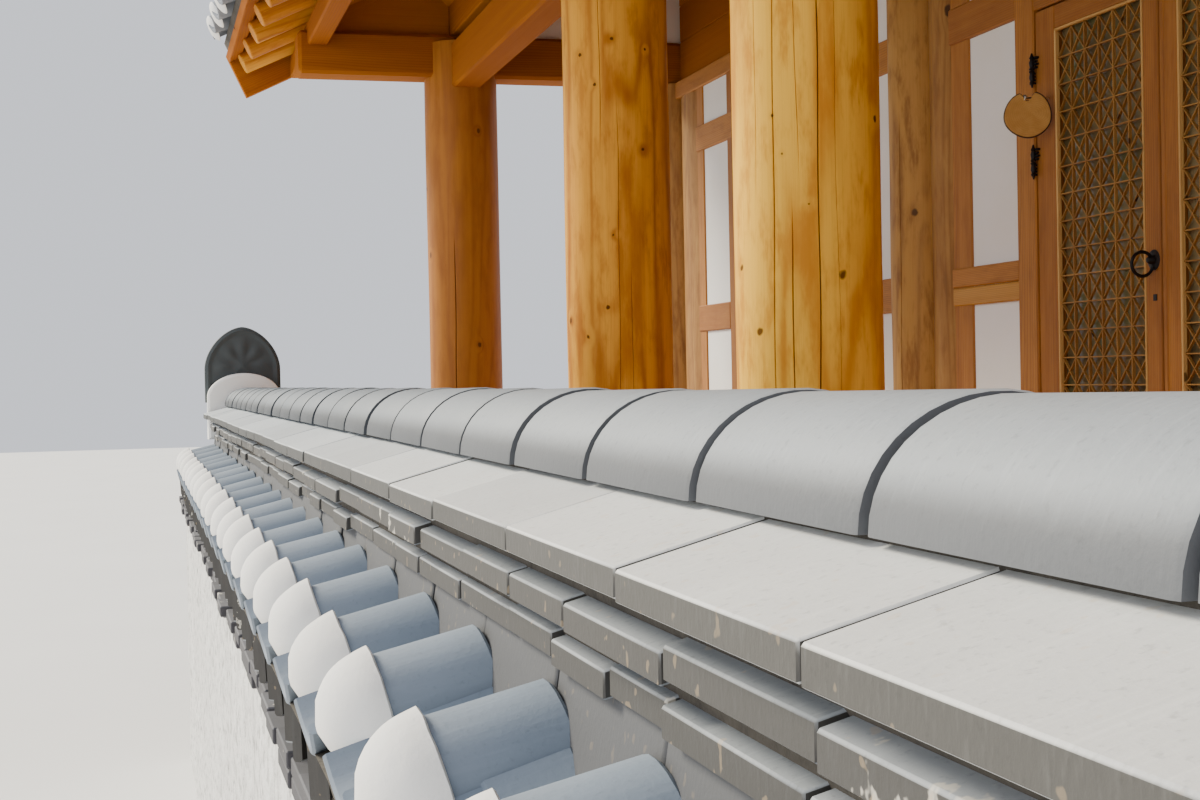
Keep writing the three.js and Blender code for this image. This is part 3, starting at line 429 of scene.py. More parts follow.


# %% [markdown]
# ## Wood
# Softwood shows pale early growth and thin darker late growth. The rings are circles round the heart, so
# their count is the distance from the heart, bent by slow noise that is stretched along the trunk. Where
# the surface runs nearly along a ring this gives the pointed arches that sawn boards and peeled logs show.
# Chance knots are the nearest points of a Voronoi pattern on the face map. Knots that have a known place,
# as on the two nearest columns, are small distances from a point of the same map, and the rings swell
# round both. Weather leaves soft clouds on old logs. Inside a drying crack the wood is painted near black,
# as painted shade in the groove.


# %% The wood finish
def wood(name, pale, deep, late, knots=(5.0, 0.35, 0.05), ring=0.0055, late_share=0.55, rough=0.5, gloss=0.18,
         mottle=0.0, marks=()):
    """Wood from a pale and a deep tone, the late rings' colour, and knots as (per metre, chance, size).
    mottle is the share of soft clouds. marks are knots at known places, (across, up, reach) on the face map."""
    f = Finish(name, Specular_IOR_Level=gloss)
    grain, face, tint = (f.attribute(key) for key in ("grain", "face", "tint"))
    x, y, z = f.parts(grain)
    tone, shift, _ = f.parts(tint)
    slow = f.noise(f.vector(x * 0.45, y * 4, z * 4), 1.0, 2.0)
    per_metre, chance, size = knots
    spread = f.scaled(face, (per_metre, per_metre * 0.7, 1))
    away = f.node("ShaderNodeTexVoronoi", {"voronoi_dimensions": "2D"}, {"Vector": spread, "Scale": 1.0})
    picked = f.parts(Wire(f, away.socket.node.outputs["Color"]))[0] < chance
    wander = f.noise(face, 60.0, 1.0) * 0.03
    knot = (1 - (away + wander - 0.015).step(size * 0.55, size)) * picked
    halo = (1 - away.step(size * 0.6, size * 3.2)) * picked
    radius = (y * y + z * z) ** 0.5 + (slow - 0.5) * 0.06 + halo * 0.005
    flat_map, crack = f.scaled(face, (1, 1, 0)), f.parts(face)[2].clamp()
    for across, up, reach in marks:
        ends = {0: flat_map, 1: (across, up, 0.0)}
        near = f.node("ShaderNodeVectorMath", {"operation": "DISTANCE"}, ends, out="Value")
        knot = knot + (1 - (near + wander * 0.35 - 0.005).step(reach * 0.5, reach))
        ripple = 1 - near.step(reach * 0.8, reach * 5)
        halo, radius = halo + ripple * ripple * 1.2, radius + ripple * 0.0018
    knot, halo = knot.clamp(), halo.clamp()
    wave = (radius * (2 * math.pi / ring)).math("SINE") * 0.5 + 0.5
    lines = wave ** 3
    fibre = f.noise(f.vector(x * 5, y * 330, z * 330), 1.0, 3.0, 0.6)
    streak = f.noise(f.vector(x * 0.8, y * 45, z * 45), 1.0, 2.0)
    warm = (slow * 0.5 + streak * 0.5 + (tone - 0.5) * 0.5).clamp()
    colour = f.mix(warm.step(0.25, 0.75), pale, deep)
    colour = f.mix(lines * late_share * (0.5 + streak * 0.8), colour, late)
    colour = f.mix(fibre.step(0.45, 0.8) * 0.3, colour, late)
    colour = f.mix(halo * 0.16, colour, late)
    if mottle:
        cloud = f.noise(f.scaled(face, (21.0, 5.5, 0.0)), 1.0, 4.0, 0.62)
        colour = f.mix(cloud.step(0.46, 0.68) * mottle, colour, late)
        colour = f.mix((1 - cloud.step(0.30, 0.48)) * mottle * 0.7, colour, pale)
    colour = f.mix(knot, colour, tuple(c * 0.22 for c in late))
    # painted shade: the inside of a drying crack is mixed to near black, darker where its groove is deeper
    colour = f.mix(crack * 0.9, colour, tuple(c * 0.10 for c in late))
    colour = f.mix((shift - 0.5) * 0.25 + 0.125, colour, tuple(c * 0.8 for c in deep))
    height = fibre * 0.4 + lines * 0.3 - knot * 0.6
    return f.finish(colour, rough + fibre * 0.15 - lines * 0.08, height, depth=0.0012, strength=0.5)


def on_log(seed, places, radius=0.165, seam=0.25):
    """Knots given as (turn, height, size) on a log's face map. Turns before the seam count on past 1."""
    places = [(turn + (turn < seam), z, size) for turn, z, size in places]
    return [(turn * 2 * math.pi * radius + 3 * seed, z + 3 * seed, size) for turn, z, size in places]


NEAR_KNOTS = on_log(3, [
    (0.011, 1.760, 0.012), (0.825, 1.643, 0.011), (0.764, 1.785, 0.010), (0.886, 2.022, 0.004),
    (0.865, 2.105, 0.004), (0.940, 1.911, 0.005), (0.121, 2.101, 0.010), (0.900, 2.460, 0.006),
])
NEXT_KNOTS = on_log(2, [
    (0.946, 2.565, 0.007), (0.843, 2.525, 0.008), (0.893, 2.430, 0.006), (0.050, 2.534, 0.005),
    (0.035, 2.233, 0.007), (0.921, 1.761, 0.009), (0.854, 1.675, 0.009), (0.941, 1.978, 0.006),
])
DOOR_KNOTS = on_log(12, [(0.873, 2.059, 0.015), (0.965, 2.000, 0.006)], radius=0.120)
FEW, SOME, WALL = (3.0, 0.10, 0.035), (4.0, 0.4, 0.04), (2.6, 0.45, 0.045)
HONEY = wood(
    "pine_honey", (0.95, 0.54, 0.065), (0.82, 0.39, 0.032), (0.58, 0.215, 0.016), knots=(3.2, 0.10, 0.035),
    ring=0.0085, late_share=0.85, gloss=0.06, mottle=0.7, marks=NEAR_KNOTS,
)
ORANGE = wood(
    "pine_orange", (0.76, 0.375, 0.045), (0.57, 0.235, 0.026), (0.35, 0.105, 0.011), knots=(5.0, 0.08, 0.045),
    ring=0.007, late_share=0.8, gloss=0.06, mottle=0.55, marks=NEXT_KNOTS,
)
DOOR_LOG = wood(
    "pine_door_log", (0.54, 0.30, 0.075), (0.40, 0.195, 0.045), (0.19, 0.072, 0.016), knots=(2.6, 0.1, 0.045),
    mottle=0.75, marks=DOOR_KNOTS,
)
COLUMN = wood("pine_column", (0.47, 0.19, 0.026), (0.36, 0.125, 0.015), (0.24, 0.07, 0.008), SOME, mottle=0.4)
WALL_LOG = wood("pine_wall_log", (0.48, 0.265, 0.070), (0.35, 0.17, 0.042), (0.20, 0.078, 0.017), WALL, mottle=0.6)
BEAM = wood(
    "pine_beam", (0.42, 0.148, 0.014), (0.32, 0.097, 0.009), (0.20, 0.053, 0.006), knots=(3.2, 0.3, 0.05),
    rough=0.75, gloss=0.05,
)
JOINERY = wood(
    "pine_joinery", (0.48, 0.205, 0.036), (0.34, 0.13, 0.022), (0.20, 0.065, 0.01), FEW, ring=0.0045, mottle=0.35,
)
GOLDEN = wood("pine_golden", (0.58, 0.30, 0.060), (0.46, 0.21, 0.036), (0.28, 0.11, 0.018), ring=0.004)
LATTICE = wood("pine_lattice", (0.45, 0.245, 0.058), (0.34, 0.165, 0.036), (0.22, 0.09, 0.018), ring=0.003)
BEADING = wood("pine_bead", (0.74, 0.48, 0.17), (0.62, 0.37, 0.11), (0.42, 0.21, 0.05), ring=0.003)
BOARDS = wood("pine_boards", (0.50, 0.23, 0.06), (0.37, 0.15, 0.035), (0.24, 0.08, 0.015), rough=0.38)
SLICE = wood(
    "branch_slice", (0.62, 0.36, 0.10), (0.50, 0.26, 0.06), (0.36, 0.16, 0.035), ring=0.006, late_share=0.3,
)
BARK = wood("branch_bark", (0.10, 0.060, 0.030), (0.065, 0.038, 0.020), (0.03, 0.018, 0.010))

# %% [markdown]
# ## Fired clay and lime
# The tiles are fired in smoke, so they are blue-grey with cloudy lighter and darker patches from tile to
# tile, and the hidden layers are darker. Upright sides are painted darker than a tile's level face, as
# painted shade where they turn from the light, and the two are told apart by the normal. Lime is nearly
# white. Its roughness shows as bump, and thrown lime has dark pits too.


# %% Clay and lime finishes
def clay(name, base, cloud, edge, lime=0.0, rough=0.55, dots=0.0, far_shade=None):
    """Smoke-fired clay: base and cloud are the face's tones, and edge is the darker tone of its upright sides,
    painted shade for faces that turn away from the light. lime splashes it with mortar and dots are grains of
    paler grit in it. The far end's tone multiplies the colour towards the wall's left end as painted shade,
    since the far tiles took less light than the near ones."""
    f = Finish(name, Specular_IOR_Level=0.4)
    grain, tint = f.attribute("grain"), f.attribute("tint")
    tone, stain, _ = f.parts(tint)
    patch = f.noise(grain, 9.0, 3.0, 0.55)
    fine = f.noise(grain, 170.0, 3.0, 0.6)
    drawn = f.noise(f.scaled(grain, (260.0, 14.0, 60.0)), 1.0, 2.0)
    colour = f.mix((patch * 0.7 + (tone - 0.5) * 0.8 + 0.15).clamp(), base, cloud)
    upward = f.parts(f.node("ShaderNodeNewGeometry", out="Normal"))[2]
    level = upward.math("ABSOLUTE").step(0.25, 0.6)
    # painted shade: faces that stand upright, told by the normal, are mixed towards the darker edge tone
    colour = f.mix((1 - level) * 0.95, colour, edge)
    colour = f.mix(fine.step(0.55, 0.75) * 0.22, colour, tuple(c * 0.55 for c in edge))
    colour = f.mix(drawn.step(0.5, 0.8) * (level * 0.10 + 0.02), colour, tuple(min(1.0, c * 1.5) for c in cloud))
    if lime:
        splash = f.noise(grain, 22.0, 4.0, 0.65) + (stain - 0.5) * 0.12
        bare = 0.68 - lime * 0.1
        colour = f.mix(splash.step(bare, bare + 0.04) * 0.75, colour, (0.62, 0.58, 0.50))
    if dots:
        grit = f.noise(grain, 75.0, 1.0)
        colour = f.mix(grit.step(0.69, 0.73) * dots, colour, (0.58, 0.42, 0.24))
    # painted shade: the tone darkens towards the wall's far left end, which took less light than the near end
    if far_shade:
        colour = f.mix(1 - f.parts(f.place())[0].step(-0.6, 3.1), colour, far_shade, "MULTIPLY")
    height = fine * 0.5 + patch * 0.5 + drawn * 0.3
    return f.finish(colour, rough + patch * 0.2, height, depth=0.0015, strength=0.4)


def limewash(name, base, shade, pit, pits=0.0, coarse=0.004):
    """Lime plaster: base with cloudy shade, and dark pits where its rough bump is low."""
    f = Finish(name, Specular_IOR_Level=0.25)
    place = f.place()
    cloud = f.noise(place, 2.2, 4.0, 0.6)
    rough = f.noise(place, 34.0, 5.0, 0.62)
    fine = f.noise(place, 210.0, 3.0, 0.6)
    colour = f.mix(cloud.step(0.35, 0.7) * 0.6, base, shade)
    if pits:
        stain, between = f.noise(place, 8.0, 5.0, 0.7), tuple(0.5 * (a + b) for a, b in zip(shade, pit))
        colour = f.mix(stain.step(0.46, 0.72) * pits * 0.7, colour, between)
        low = 1 - (rough + fine * 0.35).step(0.46, 0.72)
        colour = f.mix(low * pits, colour, pit)
    colour = f.mix(fine.step(0.6, 0.8) * 0.12, colour, pit)
    return f.finish(colour, 0.75 + fine * 0.2, rough + fine * 0.25, depth=coarse, strength=0.7)


TILE = clay("clay_blue_grey", (0.145, 0.185, 0.240), (0.215, 0.258, 0.315), (0.145, 0.180, 0.228))
INFILL_CLAY = clay("clay_infill", (0.075, 0.078, 0.086), (0.125, 0.128, 0.136), (0.080, 0.082, 0.088), dots=0.1)
RIDGE_CLAY = clay(
    "clay_ridge", (0.250, 0.272, 0.295), (0.335, 0.358, 0.382), (0.10, 0.105, 0.115), far_shade=(0.40, 0.45, 0.51),
)
PLATE_CLAY = clay(
    "clay_plate", (0.52, 0.52, 0.51), (0.68, 0.68, 0.66), (0.038, 0.035, 0.030), dots=0.2, far_shade=(0.70, 0.76, 0.83),
)
LAYER_CLAY = clay(
    "clay_layers", (0.24, 0.26, 0.28), (0.34, 0.36, 0.385), (0.043, 0.039, 0.034), lime=0.3, dots=0.25,
)
END_CLAY = clay("clay_end_tile", (0.050, 0.064, 0.070), (0.095, 0.115, 0.12), (0.050, 0.060, 0.064), rough=0.6)
DARK_CLAY = clay(
    "clay_dark", (0.060, 0.060, 0.070), (0.13, 0.13, 0.145), (0.060, 0.058, 0.066), lime=0.1, rough=0.7,
)
ROOF_TILE = clay("clay_roof", (0.17, 0.19, 0.22), (0.27, 0.29, 0.33), (0.16, 0.17, 0.19))
MORTAR = limewash("old_mortar", (0.10, 0.088, 0.072), (0.055, 0.048, 0.040), (0.02, 0.018, 0.016), pits=0.5)
LIME = limewash("lime_nose", (0.86, 0.85, 0.82), (0.80, 0.78, 0.74), (0.62, 0.58, 0.52), coarse=0.0015)
ROUGH_LIME = limewash(
    "rough_lime", (0.80, 0.79, 0.77), (0.70, 0.69, 0.67), (0.22, 0.215, 0.205), pits=0.75, coarse=0.011,
)
PLASTER = limewash("smooth_plaster", (0.84, 0.83, 0.80), (0.80, 0.77, 0.70), (0.70, 0.66, 0.58), coarse=0.0008)


def stone_finish():
    """Dressed granite: pale grains and dark mica specks at a few millimetres, with a worn cloudy tone."""
    f = Finish("dressed_granite", Specular_IOR_Level=0.3)
    place, tint = f.place(), f.attribute("tint")
    tone = f.parts(tint)[0]
    grains, mica, cloud = f.noise(place, 240.0, 2.0), f.noise(place, 420.0, 1.0), f.noise(place, 2.6, 4.0)
    colour = f.mix(grains.step(0.35, 0.65), (0.47, 0.455, 0.43), (0.62, 0.605, 0.58))
    colour = f.mix(mica.step(0.62, 0.70) * 0.6, colour, (0.12, 0.115, 0.11))
    colour = f.mix(cloud * 0.35 + tone * 0.25, colour, (0.40, 0.385, 0.36))
    return f.finish(colour, 0.75 + grains * 0.15, grains * 0.4 + cloud * 1.5, depth=0.002, strength=0.6)


def paper_finish():
    """Mulberry paper: warm white with long fibres, seen as faint brighter threads."""
    f = Finish("window_paper", Specular_IOR_Level=0.2)
    place = f.place()
    fibre = f.noise(f.scaled(place, (40.0, 40.0, 260.0)), 1.0, 3.0, 0.6)
    colour = f.mix(fibre.step(0.45, 0.7), (0.72, 0.67, 0.56), (0.82, 0.78, 0.68))
    return f.finish(colour, 0.9, fibre, depth=0.0004, strength=0.3)


def floor_finish():
    """The heated floor: oiled paper on top, lime plaster on its upright sides, told apart by the normal."""
    f = Finish("oiled_paper_floor", Specular_IOR_Level=0.4)
    place = f.place()
    flat = f.parts(f.node("ShaderNodeNewGeometry", out="Normal"))[2].step(0.5, 0.8)
    cloud, grit = f.noise(place, 1.6, 3.0), f.noise(place, 40.0, 4.0, 0.6)
    oiled = f.mix(cloud.step(0.3, 0.7), (0.62, 0.42, 0.16), (0.70, 0.50, 0.22))
    side = f.mix(grit.step(0.4, 0.7), (0.70, 0.68, 0.64), (0.80, 0.78, 0.74))
    return f.finish(f.mix(flat, side, oiled), 0.8 - flat * 0.45, grit * (1 - flat), depth=0.003, strength=0.5)


def bright_metal():
    f = Finish("bright_nail", Metallic=1.0)
    scuff = f.noise(f.place(), 900.0, 2.0)
    return f.finish(f.mix(scuff, (0.62, 0.62, 0.60), (0.78, 0.78, 0.76)), 0.22 + scuff * 0.2)


STONE, PAPER, ROOM_FLOOR, SILVER = stone_finish(), paper_finish(), floor_finish(), bright_metal()

# %% [markdown]
# ## The low wall's coping
# A row of half-round tiles runs down each slope. Each ends in a nose of lime that closes it, and in front
# of the wall a short upright tile hangs under every nose. A tile is an arch: its wall is a small
# rectangle, carried round half a turn. The slope's own frame has x along the wall, s down the slope and n
# out of it, so one tile is drawn once and copied to every place on both sides.

# %% Places on the coping
body_low, body_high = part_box("low_wall_body")
plates_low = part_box("low_wall_plate_tiles")[0]
WALL_Y = (body_low.y + body_high.y) / 2
WALL_LEFT, WALL_RIGHT = body_low.x, body_high.x
BED_IN, BED_OUT = 0.120, 0.290
BED_TOP, BED_DRIP = 1.240, 1.201
SLOPE = math.atan2(BED_TOP - BED_DRIP, BED_OUT - BED_IN)
TILE_R, TILE_WALL, TILE_PITCH = 0.073, 0.014, 0.283
BODY_RUN, NOSE_RUN = 0.093, 0.066
tile_rows = int((WALL_RIGHT - WALL_LEFT) / TILE_PITCH)
tile_x = WALL_LEFT + (np.arange(tile_rows) + 0.66) * TILE_PITCH
print("coping slope", round(math.degrees(SLOPE), 1), "degrees, tile rows", tile_rows)


def on_coping(side, x, s, n):
    """Points of the coping's slope: y goes out with s cos + n sin, z falls with s sin and rises with n cos."""
    y = WALL_Y + side * (BED_IN + s * math.cos(SLOPE) + n * math.sin(SLOPE))
    return np.stack(np.broadcast_arrays(x, y, BED_TOP - s * math.sin(SLOPE) + n * math.cos(SLOPE)), axis=-1)


def arch(radius, wall, s0, s1, low=0.0, high=1.0, steps=14, soft=0.003):
    """An arch tile in its own frame (x, s, n): the rectangle wall by s1 - s0, with its corners cut by
    soft, carried from angle low to high in half turns."""
    reach = radius - wall
    loop = [(reach, s0 + soft), (reach, s1 - soft), (reach + soft, s1), (radius - soft, s1)]
    loop += [(radius, s1 - soft), (radius, s0 + soft), (radius - soft, s0), (reach + soft, s0)]
    loop = np.array(loop)
    angle = np.linspace(low, high, steps) * math.pi
    across, up = np.outer(np.cos(angle), loop[:, 0]), np.outer(np.sin(angle), loop[:, 0])
    return skin(np.stack([across, np.broadcast_to(loop[:, 1], across.shape), up], axis=-1))


def fired(local):
    """grain and tint of tiles: each has its own place in the clay's pattern, and its own tone."""
    grain = local + random.uniform(0, 30, (len(local), 1, 3))
    return {"grain": grain, "tint": random.uniform(0, 1, (len(local), 1, 3))}


def laid(shape, side, x, shift=0.0, tilt=0.0, twist=0.0, scale=1.0):
    """Copies of an arch on the coping, one per x, each lifted, tilted and twisted a little by arrays."""
    local = repeated(shape, len(x))
    shift, tilt, twist, scale = (np.broadcast_to(v, (len(x),))[:, None] for v in (shift, tilt, twist, scale))
    s, n = local[..., 1], local[..., 2] * scale
    across = local[..., 0] * scale + twist * s
    points = on_coping(side, x[:, None] + across, s, n + shift + tilt * s)
    return copies(shape, points, fired(local))


# %% Half-round tiles on both slopes
def jitter(size, count=tile_rows):
    """Random numbers from -size to size, one per tile."""
    return random.uniform(-size, size, count)


run_shape = arch(TILE_R, TILE_WALL, -0.012, BODY_RUN + 0.006)
wander = {side: dict(shift=jitter(0.003), tilt=jitter(0.015), twist=jitter(0.02)) for side in (-1, 1)}
half_rounds = [laid(run_shape, side, tile_x, **wander[side]) for side in (-1, 1)]

# %% [markdown]
# A nose is a lump of lime pressed over the tile's open end. The rings of its grid shrink along nearly a
# quarter of a circle towards a tip a little above the slope, and a soft peak runs out from the crown. It
# is laid with the same wander as its tile, so the two never part.


# %% Lime noses
def nose(start, reach, steps=11, around=28):
    """Ring t has radius R (1 - t^2)^0.56 above the slope, a flatter lower half, and a tip at a height."""
    t = np.concatenate([[0.0, 0.03], np.linspace(0.1, 0.995, steps)])[:, None]
    turn = np.linspace(0, 2 * math.pi, around, endpoint=False)[None]
    size = (1 - t**2) ** 0.56
    peak = 1 + 0.09 * np.exp(-(((turn - math.pi / 2) / 0.28) ** 2)) * (1 - t) ** 2
    radius = (TILE_R + 0.004) * np.where(t == 0, 0.965, 1.0)
    across = radius * np.cos(turn) * size
    up = np.where(np.sin(turn) > 0, radius, 0.046) * np.sin(turn) * size * peak
    return skin(np.stack([across, start + reach * t + 0 * turn, up + 0.020 * t**1.5], axis=-1))


nose_shape = nose(BODY_RUN, NOSE_RUN)
noses = []
for side in (-1, 1):
    shape = laid(nose_shape, side, tile_x, scale=1.005 + jitter(0.012), **wander[side])
    noses.append(moved(shape, lambda p: p + waves(p, 0.05, 3)[:, None] * 0.0012))

# %% [markdown]
# Between the half-rounds lie hollow tiles, overlapping down the slope, so their ends show as a stack of
# thin dark edges. They are the same arch, flatter and turned over. Stood on end, the arch makes the tiles
# that hang under the noses and the drip tiles between them. Thin tile ends are stacked at their feet.

# %% Hollow tiles, hanging tiles, drip tiles and tile ends
trough_x = (tile_x[:-1] + tile_x[1:]) / 2
trough_shape = arch(0.105, 0.013, 0.0, 0.075, low=1.22, high=1.78, steps=7)
hollows = []
for side in (-1, 1):
    for step in range(3):
        down = np.array([0, 0.046 * step - 0.004, 0.090 - 0.004 * step])
        stepped = moved(trough_shape, lambda p: p + down)
        hollows.append(laid(stepped, side, trough_x, shift=jitter(0.002, len(trough_x)), tilt=-0.06))


def upright_tiles(side, x, radius, wall, out, z0, z1, low=0.0, high=1.0):
    """Arches standing on end: their s runs up, and their crown looks out of the wall."""
    shape = arch(radius, wall, z0, z1, low=low, high=high, steps=12)
    local = repeated(shape, len(x))
    lean = jitter(0.03, len(x))[:, None]
    y = WALL_Y + side * (out + local[..., 2] + (local[..., 1] - z1) * (0.05 + lean))
    points = np.stack([x[:, None] + local[..., 0], y, local[..., 1] + jitter(0.006, len(x))[:, None]], axis=-1)
    return copies(shape, points, fired(local))


HANGING = dict(radius=0.058, wall=0.015, out=0.202, z0=1.062, z1=1.200)
DRIP = dict(radius=0.085, wall=0.014, out=0.320, z0=1.112, z1=1.180, low=1.24, high=1.76)
hanging = [upright_tiles(side, tile_x, **HANGING) for side in (-1, 1)]
drips = [upright_tiles(side, trough_x, **DRIP) for side in (-1, 1)]
WAFER_Z, WAFER_STEP, WAFER_UNDER, WAFER_OVER = 1.064, 0.024, 0.010, 0.012
wafers = []
for side in (-1, 1):
    for layer in range(2):
        for row in range(2):
            x = (trough_x if row else tile_x) + jitter(0.012, len(trough_x) + 1 - row)
            half = random.uniform(0.055, 0.080, len(x))
            out = random.uniform(0.252, 0.268, len(x)) + 0.010 * layer
            z = WAFER_Z + WAFER_STEP * layer + jitter(0.004, len(x))
            y = WALL_Y + side * 0.15, WALL_Y + side * out
            wafers.append(planks(box_rows(x - half, x + half, *y, z - WAFER_UNDER, z + WAFER_OVER), 0.002))

make("coping_half_round_tiles", half_rounds, TILE, replaces=["low_wall_coping"])
make("coping_lime_noses", noses, LIME)
make("coping_hollow_tiles", hollows, TILE)
make("coping_upright_tiles", hanging, TILE)
make("coping_drip_tiles", drips, LAYER_CLAY)
make("coping_tile_ends", wafers, DARK_CLAY)

# %% [markdown]
# The core under the tiles is mortar. Its section is drawn once and carried along the wall. Upright plates
# close the gap over the half-rounds, and three rows of flat tiles step out above them.


# %% Mortar core, infill plates and the layers above them
def carried(outline, x_values):
    """The shell of a (y, z) outline carried along X, measured from the wall's centre line."""
    x, (y, z) = np.asarray(x_values, float)[:, None], np.asarray(outline, float).T
    return skin(np.stack(np.broadcast_arrays(x, WALL_Y + y, z), axis=-1))


def both_sides(half):
    """A closed outline out of its half with y above 0."""
    return half + [(-y, z) for y, z in reversed(half)]


core = [(0.10, 1.03), (0.235, 1.03), (0.245, 1.10), (0.262, 1.16), (0.272, 1.182), (0.118, 1.218), (0.108, 1.33)]
core += [(0.116, 1.352), (0.116, 1.376), (0.130, 1.398), (0.130, 1.412), (0.075, 1.44), (0.06, 1.50), (0.03, 1.525)]
core = both_sides(core)
make("coping_core", [carried(core, [WALL_LEFT + 0.01, WALL_RIGHT - 0.01])], MORTAR)

ROW_START = plates_low.x
INFILL_FOOT, INFILL_TOP = 1.215, 1.333
infill = []
for side in (-1, 1):
    edges = np.concatenate([[ROW_START - 0.11], tile_x[1:], [WALL_RIGHT]])
    gap = random.uniform(0.004, 0.009, len(edges) - 1)
    lean = jitter(0.004, len(gap))
    rows = box_rows(edges[:-1] + gap, edges[1:] - gap, 0.100, 0.117 + lean, INFILL_FOOT, INFILL_TOP)
    out = lambda p: WALL_Y + side * (p[:, 1] + (INFILL_TOP - p[:, 2]) * 0.16)
    infill.append(moved(planks(rows, 0.003), lambda p: np.stack([p[:, 0], out(p), p[:, 2]], axis=-1)))
make("coping_infill_plates", infill, INFILL_CLAY)


def plate_row(side, half, top, thick, shortest, longest, uneven, slope):
    """Plates of random length end to end. Each slopes down outwards and sits a little high or low."""
    edges = ROW_START + np.concatenate([[0.0], np.cumsum(random.uniform(shortest, longest, 60))])
    edges = np.append(edges[edges < WALL_RIGHT - shortest * 0.5], WALL_RIGHT)
    count = len(edges) - 1
    lift, out = random.uniform(-uneven, 0, count), random.uniform(-uneven * 1.5, 0, count)
    gap = random.uniform(0.0008, 0.0035, count)
    z1 = plates_low.z + top + lift
    rows = box_rows(edges[:-1] + gap, edges[1:] - gap, 0.03, half + out, z1 - thick, z1)
    fall = lambda p: p[:, 2] - slope * (p[:, 1] - 0.06).clip(0)
    return moved(planks(rows, 0.0015), lambda p: np.stack([p[:, 0], WALL_Y + side * p[:, 1], fall(p)], axis=-1))


PLATE_ROWS = [
    dict(half=0.168, top=0.1445, thick=0.020, shortest=0.27, longest=0.34, uneven=0.002, slope=0.34),
    dict(half=0.149, top=0.0955, thick=0.021, shortest=0.17, longest=0.30, uneven=0.006, slope=0.36),
    dict(half=0.131, top=0.0465, thick=0.021, shortest=0.13, longest=0.26, uneven=0.006, slope=0.36),
]
upper, middle, lower = ([plate_row(side, **row) for side in (-1, 1)] for row in PLATE_ROWS)
make("low_wall_top_plates", upper, PLATE_CLAY, replaces=["low_wall_plate_tiles"])
make("low_wall_layer_tiles", middle + lower, LAYER_CLAY)

# %% [markdown]
# The ridge is one row of wider half-round tiles. Each tile is a hair narrower at its far end, so the next
# one starts with a small step, and the joints stay open and dark.

# %% Ridge tiles
ridge_low, ridge_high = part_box("low_wall_ridge_tiles")
RIDGE_HALF, RIDGE_TALL = (ridge_high.y - ridge_low.y) / 2, ridge_high.z - ridge_low.z
ridge_count = round((WALL_RIGHT - ROW_START) / 0.27)
ridge_pitch = (WALL_RIGHT - ROW_START) / ridge_count
ridge_shape = arch(1.0, 0.18, 0.0, 1.0, steps=22, soft=0.018)


def ridge_row():
    """Arches scaled to the ridge: half width, pitch less the joint, height. Their x runs along the wall."""
    local = repeated(ridge_shape, ridge_count)
    joint = random.uniform(0.003, 0.009, ridge_count)[:, None]
    taper = 0.965 + 0.03 * local[..., 1] + jitter(0.006, ridge_count)[:, None]
    start = ROW_START + np.arange(ridge_count)[:, None] * ridge_pitch
    x = start + local[..., 1] * (ridge_pitch - joint)
    y = WALL_Y + local[..., 0] * RIDGE_HALF * taper + jitter(0.0015, ridge_count)[:, None]
    z = ridge_low.z + 0.001 + local[..., 2] * (RIDGE_TALL - 0.001) * taper
    points = np.stack([x, y, z], axis=-1)
    return copies(ridge_shape, points, fired(points))


make("low_wall_ridge_row", [ridge_row()], RIDGE_CLAY, replaces=["low_wall_ridge_tiles"])

# %% [markdown]
# ## The rough wall under the coping
# Thrown lime render is lumpy at the scale of a hand and gritty at the scale of a grain of sand. The lumps
# are mesh: a fine grid round the wall, pressed inwards by noise. The grit is left to the finish's bump.


# %% Rendered wall body
def rendered_block(low, high, pitch, depth, seed):
    """A box's four sides as a grid, each point moved inwards by depth * noise, never outwards."""
    across = np.linspace(low[1], high[1], max(3, int((high[1] - low[1]) / pitch)))
    up = np.linspace(low[2], high[2], int((high[2] - low[2]) / pitch))
    front = np.stack([np.full(len(up), low[1]), up], axis=-1)[:-1]
    over = np.stack([across, np.full(len(across), high[2])], axis=-1)[:-1]
    back = np.stack([np.full(len(up), high[1]), up[::-1]], axis=-1)[:-1]
    under = np.stack([across[::-1], np.full(len(across), low[2])], axis=-1)[:-1]
    loop = np.concatenate([front, over, back, under])
    x = np.linspace(low[0], high[0], int((high[0] - low[0]) / pitch))
    grid = np.zeros((len(x), len(loop), 3))
    grid[..., 0], grid[..., 1:] = x[:, None], loop[None]
    centre = (low[1] + high[1]) / 2
    press = 0.5 + 0.28 * waves(grid, 0.16, seed) + 0.22 * waves(grid, 0.05, seed + 1, 30)
    grid[..., 1] -= np.sign(grid[..., 1] - centre) * np.clip(press, 0, 1) * depth
    return skin(grid)


render_high = (body_high.x, body_high.y, body_high.z - 0.02)
render = rendered_block(tuple(body_low), render_high, pitch=0.025, depth=0.012, seed=11)
make("low_wall_render", [render], ROUGH_LIME, replaces=["low_wall_body"])

# %% [markdown]
# ## Logs of the front
# The nearest columns fill the picture, so their cracks and knots are set one by one. A turn of 0 looks
# along +X and grows towards +Y, and the camera sees the side round -0.065 of a turn.

